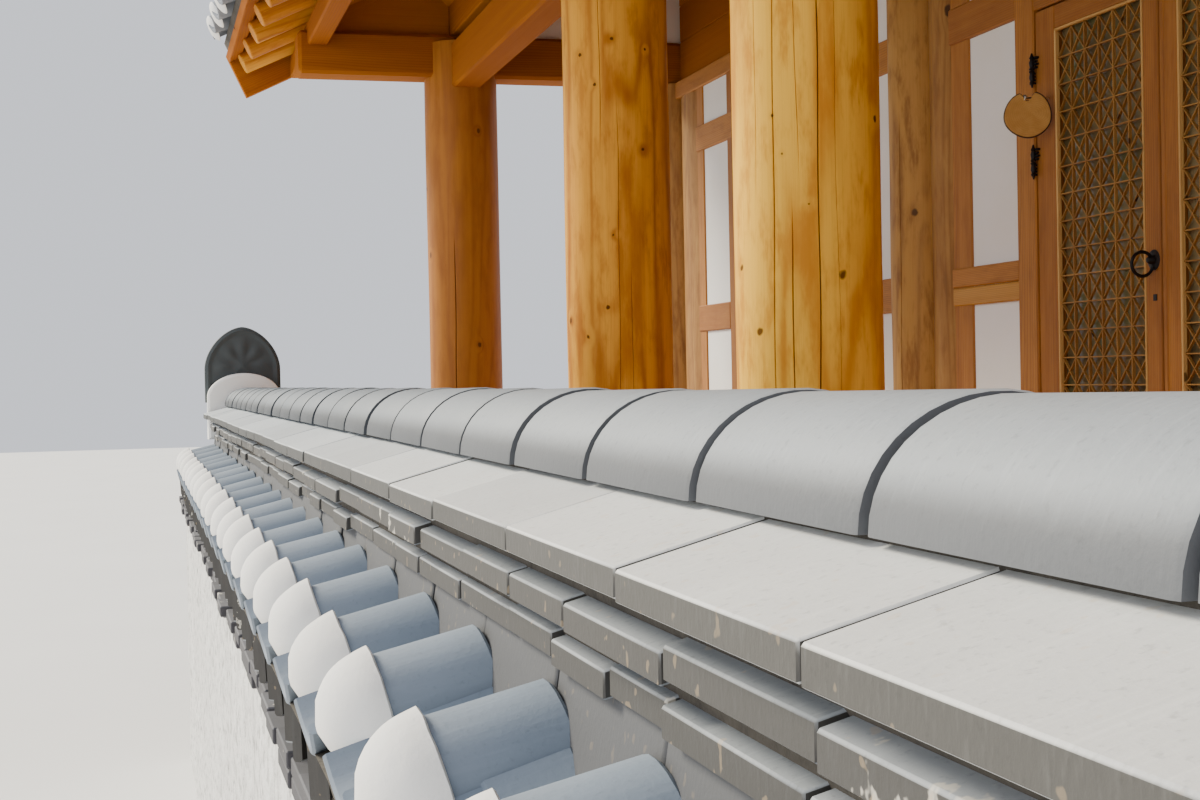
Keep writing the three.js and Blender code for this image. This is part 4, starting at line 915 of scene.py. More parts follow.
# %% Front columns and wall columns
FRONT = [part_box(f"front_column_{k}") for k in range(1, 6)]
WALL_LOGS = [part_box(f"wall_column_{k}") for k in range(1, 5)]
LOG_CRACKS = {
    3: [(0.866, 0.2, 3.3, 0.0008, 0.009), (0.960, 0.2, 3.3, 0.0010, 0.010), (0.901, 0.2, 1.92, 0.0008, 0.007)]
    + [(0.917, 1.95, 3.3, 0.0006, 0.003), (0.002, 0.2, 3.3, 0.0006, 0.003), (0.824, 1.9, 3.3, 0.0006, 0.002)],
    2: [(0.905, 2.2, 3.3, 0.0008, 0.003), (0.955, 0.2, 2.4, 0.0007, 0.003), (0.990, 0.2, 1.9, 0.0008, 0.003)],
    1: [(0.930, 0.2, 2.2, 0.0012, 0.007)],
    4: [(0.660, 0.3, 2.6, 0.0014, 0.009), (0.820, 0.3, 2.4, 0.0012, 0.008)],
    5: [(0.700, 0.3, 2.9, 0.0014, 0.009), (0.860, 0.9, 2.9, 0.0012, 0.008)],
}
WALL_CRACKS = [(0.8, 1.0, 2.4, 0.0010, 0.005)]


def stand(row, k, cracks, seed, finish, around=96):
    """Column k of a row, dressed as a log."""
    low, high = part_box(f"{row}_column_{k}")
    x, y, radius = (low.x + high.x) / 2, (low.y + high.y) / 2, (high.x - low.x) / 2
    shape = log(x, y, low.z, high.z, radius, cracks, seed, around=around)
    make(f"{row}_log_{k}", [shape], finish, replaces=[f"{row}_column_{k}"])


for k in range(1, 6):
    stand("front", k, LOG_CRACKS[k], seed=k, finish={3: HONEY, 2: ORANGE}.get(k, COLUMN))
for k in range(1, 5):
    stand("wall", k, WALL_CRACKS, seed=10 + k, finish=DOOR_LOG if k == 2 else WALL_LOG, around=72)

# %% [markdown]
# ## Beams over the columns
# Each beam is one hewn timber, so a chamfered box with its own grain is what it is. Long runs are made of
# several lengths that meet over the columns, as a carpenter would cut them, which also keeps the grain
# from running nine metres without a change.

# %% Beams, tie beam and eave purlins
FRONT_X = [(low.x + high.x) / 2 for low, high in FRONT]
WALL_X = [(low.x + high.x) / 2 for low, high in WALL_LOGS]


def lengths(low, high, cuts, joint=0.001):
    """Boxes that share y and z and are cut at the given x, with a fine joint between them."""
    edges = [low.x] + [x for x in cuts if low.x + 0.3 < x < high.x - 0.3] + [high.x]
    return [(a + joint, b - joint, low.y, high.y, low.z, high.z) for a, b in pairs(edges)]


def beam(name, shapes, cad):
    make(name, shapes, BEAM, replaces=[cad])


KING_HALF, KING_FOOT = 0.075, 0.01
BEAM_UNDER, BEAM_TOP = 2.907, 3.095
ROOF_PITCH = math.radians(25)
eave_low, eave_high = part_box("front_eave_purlin")


def under_rafters(y):
    """Height of the rafters' underside over the front half: it rises from the eave purlin's outer edge."""
    return eave_high.z + 0.0003 + (y - eave_low.y) * math.tan(ROOF_PITCH)


def end_board(x, middle_y, turn):
    """A board over an end beam's outer part, cut along the rafters. A point's height is a share of it."""
    shape = planks([(x - 0.030, x + 0.030, -0.5995, -0.0505, 0.0, 1.0)], 0.003, along=1)
    foot = BEAM_TOP - KING_FOOT
    tall = lambda p: foot + p[:, 2] * (under_rafters(p[:, 1]) - 0.0015 - foot)
    return moved(shape, lambda p: np.stack([p[:, 0], middle_y + turn * (p[:, 1] - middle_y), tall(p)], axis=-1))


for k in range(1, 5):
    low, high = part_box(f"cross_beam_{k}")
    x, middle_y = (low.x + high.x) / 2, (low.y + high.y) / 2
    rows = [(low.x, high.x, low.y, high.y, BEAM_UNDER, BEAM_TOP)]
    if k in (2, 3):
        king = (x - KING_HALF, x + KING_HALF, middle_y - KING_HALF, middle_y + KING_HALF)
        rows.append((*king, BEAM_TOP - KING_FOOT, high.z))
    ends = [end_board(x, middle_y, turn) for turn in (1, -1)] if k in (1, 4) else []
    beam(f"hewn_beam_{k}", [planks(rows, 0.014)] + ends, f"cross_beam_{k}")
beam("hewn_tie_beam", [planks(lengths(*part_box("front_tie_beam"), FRONT_X[1:-1]), 0.010)], "front_tie_beam")
for side in ("front", "rear"):
    runs = lengths(*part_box(f"{side}_eave_purlin"), WALL_X)
    beam(f"{side}_squared_purlin", [planks(runs, 0.008)], f"{side}_eave_purlin")

# %% Round purlins on their boards
PURLIN_R, BOARD_HALF = 0.110, 0.050


def purlin_logs(runs, y, z):
    return round_bars([(x0, y, z) for x0, *_ in runs], [(x1, y, z) for _, x1, *_ in runs], PURLIN_R, around=32)


for side in ("front", "rear", "ridge"):
    low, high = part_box(f"{side}_purlin")
    y, z, runs = (low.y + high.y) / 2, high.z - PURLIN_R, lengths(low, high, WALL_X)
    shapes = [purlin_logs(runs, y, z)]
    if side != "ridge":
        board = [(x0, x1, y - BOARD_HALF, y + BOARD_HALF, BEAM_TOP + 0.0005, z) for x0, x1, *_ in runs]
        shapes.append(planks(board, 0.004))
    beam(f"{side}_purlin_logs", shapes, f"{side}_purlin")

# %% [markdown]
# ## The roof
# Each slope has its own frame: x along the eave, s down from the ridge line and n out of the slope from
# the rafters' underside. Rafters, boards and tiles are drawn in it as straight rows and mapped to the
# world by one function. A point that would pass the ridge is brought back to its plane.

# %% The slope's frame
ROOF_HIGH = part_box("front_rafters")[1]
RIDGE_Y = ROOF_HIGH.y
RIDGE_UNDER = under_rafters(RIDGE_Y)
RAFTER_R, RAFTER_END = 0.055, (RIDGE_Y + 0.900) / math.cos(ROOF_PITCH)
TILE_END = (RIDGE_Y + 0.975) / math.cos(ROOF_PITCH)
SHEATH, BED, TILE_BASE = (0.107, 0.132), (0.1325, 0.186), 0.2223
SHEATH_X, TILE_X = ROOF_HIGH.x - 0.043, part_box("front_roof_tiles")[1].x


def on_roof(side, points):
    """World points of (x, s, n): y = ridge + side (s cos + n sin), z = ridge - s sin + n cos."""
    x, s, n = points[..., 0], points[..., 1], points[..., 2]
    out = np.maximum(s * math.cos(ROOF_PITCH) + n * math.sin(ROOF_PITCH), 0.0)
    z = RIDGE_UNDER - s * math.sin(ROOF_PITCH) + n * math.cos(ROOF_PITCH)
    return np.stack([x, RIDGE_Y + side * out, z], axis=-1)


SIDES = (("front", -1), ("rear", 1))
RAFTER_SPACING, RAFTERS = 0.358, 27
rafter_x = (np.arange(RAFTERS) - (RAFTERS - 1) / 2) * RAFTER_SPACING


# %% Rafters, sheathing, eave boards and barge boards
def on_rafters(side, s):
    """One world point per rafter, on its centre line and s down the slope."""
    return on_roof(side, np.stack(np.broadcast_arrays(rafter_x, s, RAFTER_R), axis=-1))


SHEET_GAP, EAVE_GAP, EAVE_EDGE = 0.0008, 0.0005, RAFTER_END + 0.04
for name, side in SIDES:
    bars = round_bars(on_rafters(side, 0.03), on_rafters(side, RAFTER_END), RAFTER_R)
    edges = np.concatenate([[-SHEATH_X], (rafter_x[:-1] + rafter_x[1:]) / 2, [SHEATH_X]])
    edges = np.sort(np.concatenate([edges, rafter_x[1:-1]]))
    sheets = [(a + SHEET_GAP, b - SHEET_GAP, -0.07, RAFTER_END - 0.02, *SHEATH) for a, b in pairs(edges)]
    rise = RAFTER_END - 0.022, EAVE_EDGE, 0.092, SHEATH[1]
    eave = [(a + EAVE_GAP, b - EAVE_GAP, *rise) for a, b in pairs([-SHEATH_X, -2.4, 0.2, 2.6, SHEATH_X])]
    barge = [(x, x + 0.045, -0.075, EAVE_EDGE, -0.09, SHEATH[1]) for x in (-SHEATH_X - 0.043, SHEATH_X - 0.002)]
    boards = []
    for rows, axis in ((sheets, 1), (eave, 0), (barge, 1)):
        boards.append(moved(planks(rows, 0.003, along=axis), lambda p: on_roof(side, p)))
    make(f"{name}_rafter_logs", [bars], ORANGE, replaces=[f"{name}_rafters"])
    make(f"{name}_roof_boards", boards, BEAM)

# %% [markdown]
# The roof tiles follow the low wall's: hollow tiles lie in overlapping rows, and a row of half-round tiles
# covers each joint. There are over a thousand, so one tile has only a few dozen faces.


# %% Roof tiles
def slim_arch(radius, wall, length, low=0.0, high=1.0, steps=9, taper=0.0):
    """An arch tile whose wall is a plain rectangle. Its upper end is narrower by taper."""
    loop = np.array([(radius - wall, 0.0), (radius - wall, length), (radius, length), (radius, 0.0)])
    angle = np.linspace(low, high, steps) * math.pi
    narrow = 1 - taper * (length - loop[:, 1]) / length
    across, up = np.outer(np.cos(angle), loop[:, 0] * narrow), np.outer(np.sin(angle), loop[:, 0] * narrow)
    return skin(np.stack([across, np.broadcast_to(loop[:, 1], across.shape), up], axis=-1))


def roof_rows(side, shape, x, starts, n, wander=0.002):
    """Copies of a tile at every x and every start down the slope, each a little out of line."""
    place = np.stack(np.meshgrid(x, starts, [n], indexing="ij"), axis=-1).reshape(-1, 1, 3)
    place = place + random.uniform(-wander, wander, place.shape)
    local = shape[0][None] + place
    local[..., 0] = np.clip(local[..., 0], -TILE_X, TILE_X)
    return copies(shape, on_roof(side, local), fired(repeated(shape, len(place))))


ROOF_TILE_R, ROOF_TILE_PITCH, COVER, TILE_LONG = 0.074, 0.295, 0.302, 0.314
roof_rows_count = int(2 * TILE_X / ROOF_TILE_PITCH)
row_x = (np.arange(roof_rows_count) - (roof_rows_count - 1) / 2) * ROOF_TILE_PITCH
cover_starts = TILE_END - 0.028 - TILE_LONG - np.arange(10) * COVER
hollow_starts = TILE_END - 0.004 - 0.20 - np.arange(20) * 0.1485
cover_tile = slim_arch(ROOF_TILE_R, 0.014, TILE_LONG, taper=0.05)
hollow_tile = slim_arch(0.150, 0.014, 0.20, low=1.22, high=1.78, steps=6)
verge_tile = slim_arch(0.060, 0.013, TILE_LONG, taper=0.05)
hollow_lean = moved(hollow_tile, lambda p: p + np.array([0, 0, 1]) * (p[:, 1:2] * 0.07))
roof_nose = moved(nose(0.0, 0.026, steps=5, around=20), lambda p: p * np.array([1, 1, 0.96]))
VERGE_X = TILE_X - 0.064
for name, side in SIDES:
    hollow_x = (row_x[:-1] + row_x[1:]) / 2
    shapes = [
        roof_rows(side, cover_tile, row_x, cover_starts, TILE_BASE),
        roof_rows(side, hollow_lean, hollow_x, hollow_starts, TILE_BASE + 0.105),
        roof_rows(side, verge_tile, np.array([-VERGE_X, VERGE_X]), cover_starts, TILE_BASE, 0.0),
    ]
    make(f"{name}_tile_rows", shapes, ROOF_TILE, replaces=[f"{name}_roof_tiles"])
    caps = roof_rows(side, roof_nose, row_x, np.array([TILE_END - 0.0285]), TILE_BASE, 0.001)
    make(f"{name}_eave_noses", [caps], LIME)
    bed = planks([(-TILE_X + 0.02, TILE_X - 0.02, -0.08, TILE_END - 0.06, *BED)], 0.002)
    make(f"{name}_tile_bed", [moved(bed, lambda p: on_roof(side, p))], MORTAR)

# %% [markdown]
# The main ridge is a low wall of its own: a lime base, courses of flat tiles laid in lime, and half-round
# tiles on top.

# %% Main ridge
ridge_low, ridge_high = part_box("main_ridge")
COURSES, COURSE_TALL, RIDGE_BASE = 6, 0.038, 0.072
CROWN_HALF, CROWN_TALL = 0.095, 0.090
crown_foot = ridge_high.z - CROWN_TALL


def ridge_courses():
    """Flat tiles end to end on both sides. Each course is a little narrower and breaks the joints below."""
    rows = []
    for course in range(COURSES):
        z0 = ridge_low.z + RIDGE_BASE + course * COURSE_TALL
        cuts = np.arange(ridge_low.x, ridge_high.x, 0.31) + (course % 2) * 0.15
        cuts = cuts[(cuts > ridge_low.x + 0.05) & (cuts < ridge_high.x - 0.05)]
        cuts = np.concatenate([[ridge_low.x], cuts, [ridge_high.x]])
        half = 0.129 - 0.004 * course + random.uniform(-0.002, 0.001, len(cuts) - 1)
        for side in (-1, 1):
            y = RIDGE_Y + side * 0.06, RIDGE_Y + side * half
            z = z0 + random.uniform(0, 0.003, len(half))
            rows.append(box_rows(cuts[:-1] + 0.001, cuts[1:] - 0.001, *y, z, z + 0.026))
    return planks(np.concatenate(rows), 0.002)


def along_ridge(inset, half, z0, z1):
    """A box along the whole ridge, inset at its ends and twice half wide."""
    return (ridge_low.x + inset, ridge_high.x - inset, RIDGE_Y - half, RIDGE_Y + half, z0, z1)


crown_count = round((ridge_high.x - ridge_low.x) / 0.30)
crown_pitch = (ridge_high.x - ridge_low.x) / crown_count
crown_tile = slim_arch(1.0, 0.15, 1.0, steps=12)
across, along, up = np.moveaxis(repeated(crown_tile, crown_count), -1, 0)
crown_x = ridge_low.x + (np.arange(crown_count)[:, None] + along * 0.985) * crown_pitch
crown_points = np.stack([crown_x, RIDGE_Y + across * CROWN_HALF, crown_foot + up * CROWN_TALL], axis=-1)
crown_values = {"grain": crown_points, "tint": random.uniform(0, 1, (crown_count, 1, 3))}
ridge_shapes = [ridge_courses(), copies(crown_tile, crown_points, crown_values)]
make("ridge_tile_courses", ridge_shapes, ROOF_TILE, replaces=["main_ridge"])
ridge_core = [
    along_ridge(0.004, 0.100, ridge_low.z - 0.10, crown_foot + 0.01),
    along_ridge(0.002, 0.122, ridge_low.z - 0.12, ridge_low.z + RIDGE_BASE - 0.004),
    along_ridge(0.002, 0.075, crown_foot, crown_foot + 0.040),
]
make("ridge_lime_core", [planks(ridge_core, 0.006)], LIME)

# %% [markdown]
# ## Framing of the walls
# The wall is posts and rails with plaster between them. The CAD plaster stays and only gets its finish.
# Nearly every member is a chamfered box of its own, so that its grain runs its own way and a fine joint
# shows where two members meet. Only the posts against the end logs and against the logs beside the door
# are round in front, as the logs are. Rails stand proud of the strips beside the plaster, and the middle
# rail beside the door is split, with a golden lower part.

# %% Heights and lines of the framing
sill_low, sill_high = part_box("door_threshold")
head_low, head_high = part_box("door_head")
FACE_Y, BACK_Y, FLOOR_TOP, SILL_TOP = sill_low.y, sill_high.y, sill_low.z, sill_high.z
DOOR_LEFT, DOOR_RIGHT = sill_low.x, sill_high.x
UPPER_RAIL, PLATE_TOP = (head_low.z, 2.660), head_high.z
MID_RAIL, PLATE_FOOT, WINDOW_SILL = (1.748, 1.863), 2.830, (1.250, 1.340)
JAMB, STRIP_BACK, PROUD = 0.102, 0.006, -0.002
LOG_R = (WALL_LOGS[0][1].x - WALL_LOGS[0][0].x) / 2
END_X = WALL_X[3]


def upright_member(x0, x1, back=0.0):
    """A post of the front wall, set back from its face."""
    return (x0, x1, FACE_Y + back, BACK_Y, FLOOR_TOP, PLATE_TOP)


def level_member(x0, x1, heights, back=0.0):
    """A rail of the front wall between two heights."""
    return (x0, x1, FACE_Y + back, BACK_Y, *heights)


def round_post(x0, x1, y0, y1, z0, z1, bulge=0.024, rows=60, across=17):
    """A post with a log's face: its front is y = y0 + bulge (1 - cos(u pi / 2)), u from -1 to 1 across it."""
    u = np.linspace(1, -1, across)
    front = np.stack([(x0 + x1) / 2 + u * (x1 - x0) / 2, y0 + bulge * (1 - np.cos(u * math.pi / 2))], axis=-1)
    outline = np.concatenate([[[x0, y1], [x1, y1]], front])
    grid = np.zeros((rows, len(outline), 3))
    grid[..., :2], grid[..., 2] = outline[None], np.linspace(z0, z1, rows)[:, None]
    lumps = 0.5 + 0.5 * waves(grid * (1, 1, 0.3), 0.25, int(abs(x0) * 100))
    grid[..., 1] += 0.003 * np.where(grid[..., 1] < y1 - 0.01, lumps, 0)
    local = grid - np.array([(x0 + x1) / 2, y0 + 0.1, 0])
    shift = random.uniform(0, GRAIN_SHIFT)
    grain = np.stack([local[..., 2] + shift, local[..., 1], local[..., 0]], axis=-1)
    face = np.stack([local[..., 0] + shift, local[..., 2] + shift, 0 * local[..., 2]], axis=-1)
    tint = np.broadcast_to(random.uniform(0, 1, 3), grid.shape)
    return skin(grid, {"grain": grain, "face": face, "tint": tint})


def flipped(rows, sign):
    """Rows measured outwards from the middle of the house, on its right for 1 and its left for -1."""
    return [(*sorted((sign * row[0], sign * row[1])), *row[2:]) for row in rows]


def outer_bay(inner_jamb, log_side):
    """Members of an outer bay: the end post and strip, two jambs, the strip at the inner log and the rails."""
    outer_jamb, end_side = (3.110, 3.212), END_X - LOG_R + 0.02
    return [
        upright_member(3.614, end_side),
        upright_member(3.533, 3.616, STRIP_BACK),
        upright_member(*outer_jamb),
        upright_member(*inner_jamb),
        upright_member(log_side - 0.02, log_side + 0.02, STRIP_BACK),
        level_member(log_side - 0.02, end_side, (FLOOR_TOP, SILL_TOP), PROUD),
        level_member(log_side - 0.02, 3.614, UPPER_RAIL, PROUD),
        level_member(log_side - 0.02, end_side, (PLATE_FOOT, PLATE_TOP), PROUD),
        level_member(3.210, 3.614, MID_RAIL, -0.001),
        level_member(log_side - 0.02, inner_jamb[0] + 0.002, MID_RAIL, -0.001),
        level_member(inner_jamb[1] - 0.002, 3.112, WINDOW_SILL),
    ]


def beside_door(log_side, door_edge):
    """Members between an inner log and the door: post, strip, jamb and rails. The middle rail is split."""
    post_edge, strip_edge, jamb_edge = log_side - 0.165, log_side - 0.280, door_edge + JAMB - 0.004
    split = MID_RAIL[0] + 0.055
    return [
        upright_member(post_edge, log_side + 0.02),
        upright_member(strip_edge, post_edge + 0.002, STRIP_BACK),
        upright_member(door_edge, door_edge + JAMB, -0.003),
        level_member(door_edge - 0.01, log_side + 0.02, (FLOOR_TOP, SILL_TOP), PROUD),
        level_member(jamb_edge, post_edge, UPPER_RAIL, PROUD),
        level_member(door_edge - 0.01, log_side + 0.02, (PLATE_FOOT, PLATE_TOP), PROUD),
        level_member(jamb_edge, post_edge, (split + 0.001, MID_RAIL[1]), PROUD),
        level_member(jamb_edge, post_edge, (MID_RAIL[0], split)),
    ]


# %% Timbers of the front wall
def framing(name, rows, cad, chamfer=0.004):
    make(name, [planks(rows, chamfer)], JOINERY, replaces=[cad])


bays = {
    "left_bay": flipped(outer_bay((1.913, 2.015), -WALL_X[1] + LOG_R), -1),
    "right_bay": flipped(outer_bay((2.213, 2.315), WALL_X[2] + LOG_R), 1),
}
for name, rows in bays.items():
    framing(f"{name}_timbers", rows[1:], f"{name}_frame")
    make(f"{name}_end_post", [round_post(*rows[0])], WALL_LOG)
doorway = {
    "left": flipped(beside_door(-WALL_X[1] - LOG_R, -DOOR_LEFT), -1),
    "right": flipped(beside_door(WALL_X[2] - LOG_R, DOOR_RIGHT), 1),
}
for name, rows in doorway.items():
    framing(f"doorway_{name}_timbers", rows[1:-1], f"centre_frame_{name}")
    make(f"doorway_{name}_post", [round_post(*rows[0])], WALL_LOG)
    make(f"doorway_{name}_lower_rail", [planks(rows[-1:], 0.004)], GOLDEN)
panel = (FACE_Y + 0.012, BACK_Y - 0.012, UPPER_RAIL[1] - 0.005, PLATE_FOOT + 0.005)
head = [
    level_member(DOOR_LEFT - 0.002, DOOR_RIGHT + 0.002, UPPER_RAIL),
    level_member(DOOR_LEFT + 0.010, DOOR_RIGHT - 0.010, (PLATE_FOOT, PLATE_TOP), PROUD),
    (DOOR_LEFT - 0.01, DOOR_RIGHT + 0.01, *panel),
]
framing("doorway_head", head, "door_head")
sill = [level_member(DOOR_LEFT + 0.010, DOOR_RIGHT - 0.010, (FLOOR_TOP, SILL_TOP))]
framing("doorway_sill", sill, "door_threshold", chamfer=0.006)

# %% [markdown]
# Over the plate the front wall goes on in boards up to the rafters. The lowest course stops on both sides
# of the two inner beams, and the boards of the upper ones meet over them.

# %% Boards over the front wall
upper_low, upper_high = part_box("front_upper_wall")
spans = [upper_low.x, WALL_X[1], WALL_X[2], upper_high.x]
courses = np.concatenate([[upper_low.z, BEAM_TOP + 0.001], np.linspace(BEAM_TOP + 0.001, upper_high.z, 6)[1:]])
COURSE_GAP, BUTT_GAP, BEAM_GAP = 0.0008, 0.001, 0.086
upper_rows = []
for course, (z0, z1) in enumerate(pairs(courses)):
    z0, z1, y0 = z0 + COURSE_GAP, z1 - COURSE_GAP, upper_low.y + 0.001 * (course % 2)
    near = BUTT_GAP if course else BEAM_GAP
    for k, (a, b) in enumerate(pairs(spans)):
        x0, x1 = a + (near if k > 0 else BUTT_GAP), b - (near if k < 2 else BUTT_GAP)
        upper_rows.append((x0, x1, y0, upper_high.y, z0, z1))
make("upper_wall_boards", [planks(upper_rows, 0.004)], BEAM, replaces=["front_upper_wall"])

# %% [markdown]
# The side and rear walls are framed the same way, with the rails between their posts.

# %% Timbers of the side and rear walls
RAILS = ((FLOOR_TOP, SILL_TOP), MID_RAIL, UPPER_RAIL, (PLATE_FOOT, PLATE_TOP))
for name in ("left", "right"):
    low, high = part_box(f"{name}_wall_timbers")
    post, middle, tenon = 0.130, 2.220, 0.03
    studs = [(low.y, low.y + post), (middle - post / 2, middle + post / 2), (high.y - post, high.y)]
    rows = [(low.x, high.x, y0, y1, low.z, high.z) for y0, y1 in studs]
    for z0, z1 in RAILS:
        for (_, a), (b, _) in pairs(studs):
            rows.append((low.x + PROUD, high.x - PROUD, a - tenon, b + tenon, z0, z1))
    framing(f"{name}_side_timbers", rows, f"{name}_wall_timbers", chamfer=0.005)

rear_low, rear_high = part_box("rear_wall_timbers")
REAR_Y, REAR_POSTS = (rear_low.y + rear_high.y) / 2, (-2.7, -0.6, 0.6, 2.7)
rear_logs = [
    log(x, REAR_Y, rear_low.z, rear_high.z, LOG_R, [(0.2, 0.6, 2.6, 0.0012, 0.008)], seed=20 + k, around=72, seam=0.75)
    for k, x in enumerate(WALL_X)
]
rear_rows = [(x - JAMB / 2, x + JAMB / 2, REAR_Y - 0.06, REAR_Y + 0.06, FLOOR_TOP, PLATE_TOP) for x in REAR_POSTS]
inside = {x: (LOG_R if x in WALL_X else JAMB / 2) - 0.02 for x in (*REAR_POSTS, *WALL_X)}
for z0, z1 in RAILS:
    for a, b in pairs(sorted(inside)):
        rear_rows.append((a + inside[a], b - inside[b], REAR_Y - 0.062, REAR_Y + 0.062, z0, z1))
rear_shapes = rear_logs + [planks(rear_rows, 0.005)]
make("rear_logs_and_timbers", rear_shapes, WALL_LOG, replaces=["rear_wall_timbers"])


def refinish(finish, *nodes):
    """Gives a CAD node that stays its finish."""
    for node in nodes:
        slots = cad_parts[node].data.materials
        slots.clear()
        slots.append(finish)


refinish(PLASTER, "left_bay_plaster", "right_bay_plaster", "centre_plaster_left", "centre_plaster_right")
refinish(PLASTER, "left_wall_plaster", "right_wall_plaster", "rear_wall_plaster", "left_gable", "right_gable")
refinish(ROOM_FLOOR, "room_floor")

# %% [markdown]
# ## Gallery floor
# The boards follow the old pattern like the sign for a well: long rails run from front to back, and short
# boards lie across between them. Joists and two beams carry them.

# %% Gallery floor boards
floor_low, floor_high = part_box("gallery_floor")
BOARD_UNDER = FLOOR_TOP - 0.050
EDGE_RAIL, LONG_RAIL = 0.150, 0.140
FLOOR_GAP, SHORT_BOARDS, CARRIER_TOP = 0.0008, 7, BOARD_UNDER + 0.003
rail_x = [floor_low.x + LONG_RAIL / 2, -2.745, -1.5, -0.75, 0.0, 0.9, 1.8, 2.895, floor_high.x - LONG_RAIL / 2]
inner_y = (floor_low.y + EDGE_RAIL, floor_high.y - 0.110)
floor_rows = [
    (floor_low.x, floor_high.x, floor_low.y, inner_y[0] - FLOOR_GAP, BOARD_UNDER, FLOOR_TOP),
    (floor_low.x, floor_high.x, inner_y[1] + FLOOR_GAP, floor_high.y - 0.001, BOARD_UNDER, FLOOR_TOP),
]
floor_rows += [(x - LONG_RAIL / 2, x + LONG_RAIL / 2, *inner_y, BOARD_UNDER, FLOOR_TOP) for x in rail_x]
for a, b in pairs(rail_x):
    widths = random.uniform(0.8, 1.2, SHORT_BOARDS)
    cuts = inner_y[0] + np.concatenate([[0.0], np.cumsum(widths) / widths.sum()]) * (inner_y[1] - inner_y[0])
    sink = random.uniform(0.0005, 0.002, SHORT_BOARDS)
    x0, x1 = a + LONG_RAIL / 2 + FLOOR_GAP, b - LONG_RAIL / 2 - FLOOR_GAP
    for (y0, y1), low_by in zip(pairs(cuts), sink):
        floor_rows.append((x0, x1, y0 + FLOOR_GAP, y1 - FLOOR_GAP, BOARD_UNDER, FLOOR_TOP - low_by))
carriers = [(-END_X, END_X, *y, BOARD_UNDER - 0.160, CARRIER_TOP) for y in ((-0.070, 0.070), (0.785, 0.885))]
for x in (np.arange(14) - 6.5) * 0.6:
    carriers.append((x - 0.045, x + 0.045, 0.065, 0.790, BOARD_UNDER - 0.120, CARRIER_TOP))
floor_shapes = [planks(floor_rows, 0.003), planks(carriers, 0.006)]
make("gallery_boards", floor_shapes, BOARDS, replaces=["gallery_floor"])

# %% [markdown]
# ## Stone platform
# Blocks of granite in two courses stand round a core, flagstones cover it, and a raised pad carries each
# front column. The core is set back a little, so the joints between the blocks stay dark.

# %% Platform blocks, flagstones and pads
base_low, base_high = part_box("stone_platform")
PLATFORM_TOP, COURSE, BLOCK_DEEP = 0.450, 0.200, 0.300
PAD_HALF, STONE_GAP, BED_GAP = 0.240, 0.002, 0.001
stones = [(base_low.x + 0.03, base_high.x - 0.03, base_low.y + 0.02, base_high.y - 0.03, 0.0, PLATFORM_TOP - 0.02)]


def run_of_stones(a, b, shortest, longest):
    """Stretches of random length that fill a to b exactly, each less half a joint at both ends."""
    sizes = random.uniform(shortest, longest, max(1, round((b - a) / ((shortest + longest) / 2))))
    cuts = a + np.concatenate([[0.0], np.cumsum(sizes) / sizes.sum()]) * (b - a)
    return [(start + STONE_GAP, end - STONE_GAP) for start, end in pairs(cuts)]


for course in range(2):
    z = course * COURSE + BED_GAP, (course + 1) * COURSE - BED_GAP
    for y in ((base_low.y, base_low.y + BLOCK_DEEP), (base_high.y - BLOCK_DEEP, base_high.y)):
        stones += [(*x, *y, *z) for x in run_of_stones(base_low.x, base_high.x, 0.75, 1.15)]
    for x in ((base_low.x, base_low.x + BLOCK_DEEP), (base_high.x - BLOCK_DEEP, base_high.x)):
        run = run_of_stones(base_low.y + BLOCK_DEEP, base_high.y - BLOCK_DEEP, 0.75, 1.15)
        stones += [(*x, *y, *z) for y in run]
for y in run_of_stones(base_low.y, base_high.y, 0.50, 0.66):
    run = run_of_stones(base_low.x, base_high.x, 0.70, 1.05)
    stones += [(*x, *y, 2 * COURSE + BED_GAP, PLATFORM_TOP) for x in run]
stones += [(x - PAD_HALF, x + PAD_HALF, -PAD_HALF, PAD_HALF, PLATFORM_TOP - 0.01, base_high.z) for x in FRONT_X]
make("platform_stones", [planks(stones, 0.010)], STONE, replaces=["stone_platform"])

# %% [markdown]
# ## The low wall's far end
# The wall ends in a lump of lime with an arched collar, and an arched dark tile stands upright in it. Both
# are one outline in the Y-Z plane, carried along X with its size changed from ring to ring.


# %% End cap and end tile
def arch_outline(half, foot, spring, crown, count=48, point=0.0):
    """Points round an arch: up one side, over the head and back along the foot. point draws its round
    head towards a pointed one, rise = (1 - point) sin a + point (1 - |cos a|^1.4)."""
    turn = np.linspace(0, math.pi, count // 2)
    rise = (1 - point) * np.sin(turn) + point * (1 - np.abs(np.cos(turn)) ** 1.4)
    head_y, head_z = half * np.cos(turn), spring + (crown - spring) * rise
    side = np.linspace(foot, spring, 6)[:-1]
    base = np.linspace(-half, half, 8)[1:-1]
    y = np.concatenate([np.full(5, half), head_y, np.full(5, -half), base])
    z = np.concatenate([side, head_z, side[::-1], np.full(6, foot)])
    return np.stack([y, z], axis=-1)


def stepped(outline, x_values, shares, centre):
    """Rings of one outline along X, each drawn in towards centre (y, z) to its own share."""
    drawn = np.asarray(centre) + (outline[None] - centre) * np.asarray(shares)[:, None, None]
    x = np.asarray(x_values)[:, None]
    return np.stack(np.broadcast_arrays(x, WALL_Y + drawn[..., 0], drawn[..., 1]), axis=-1)


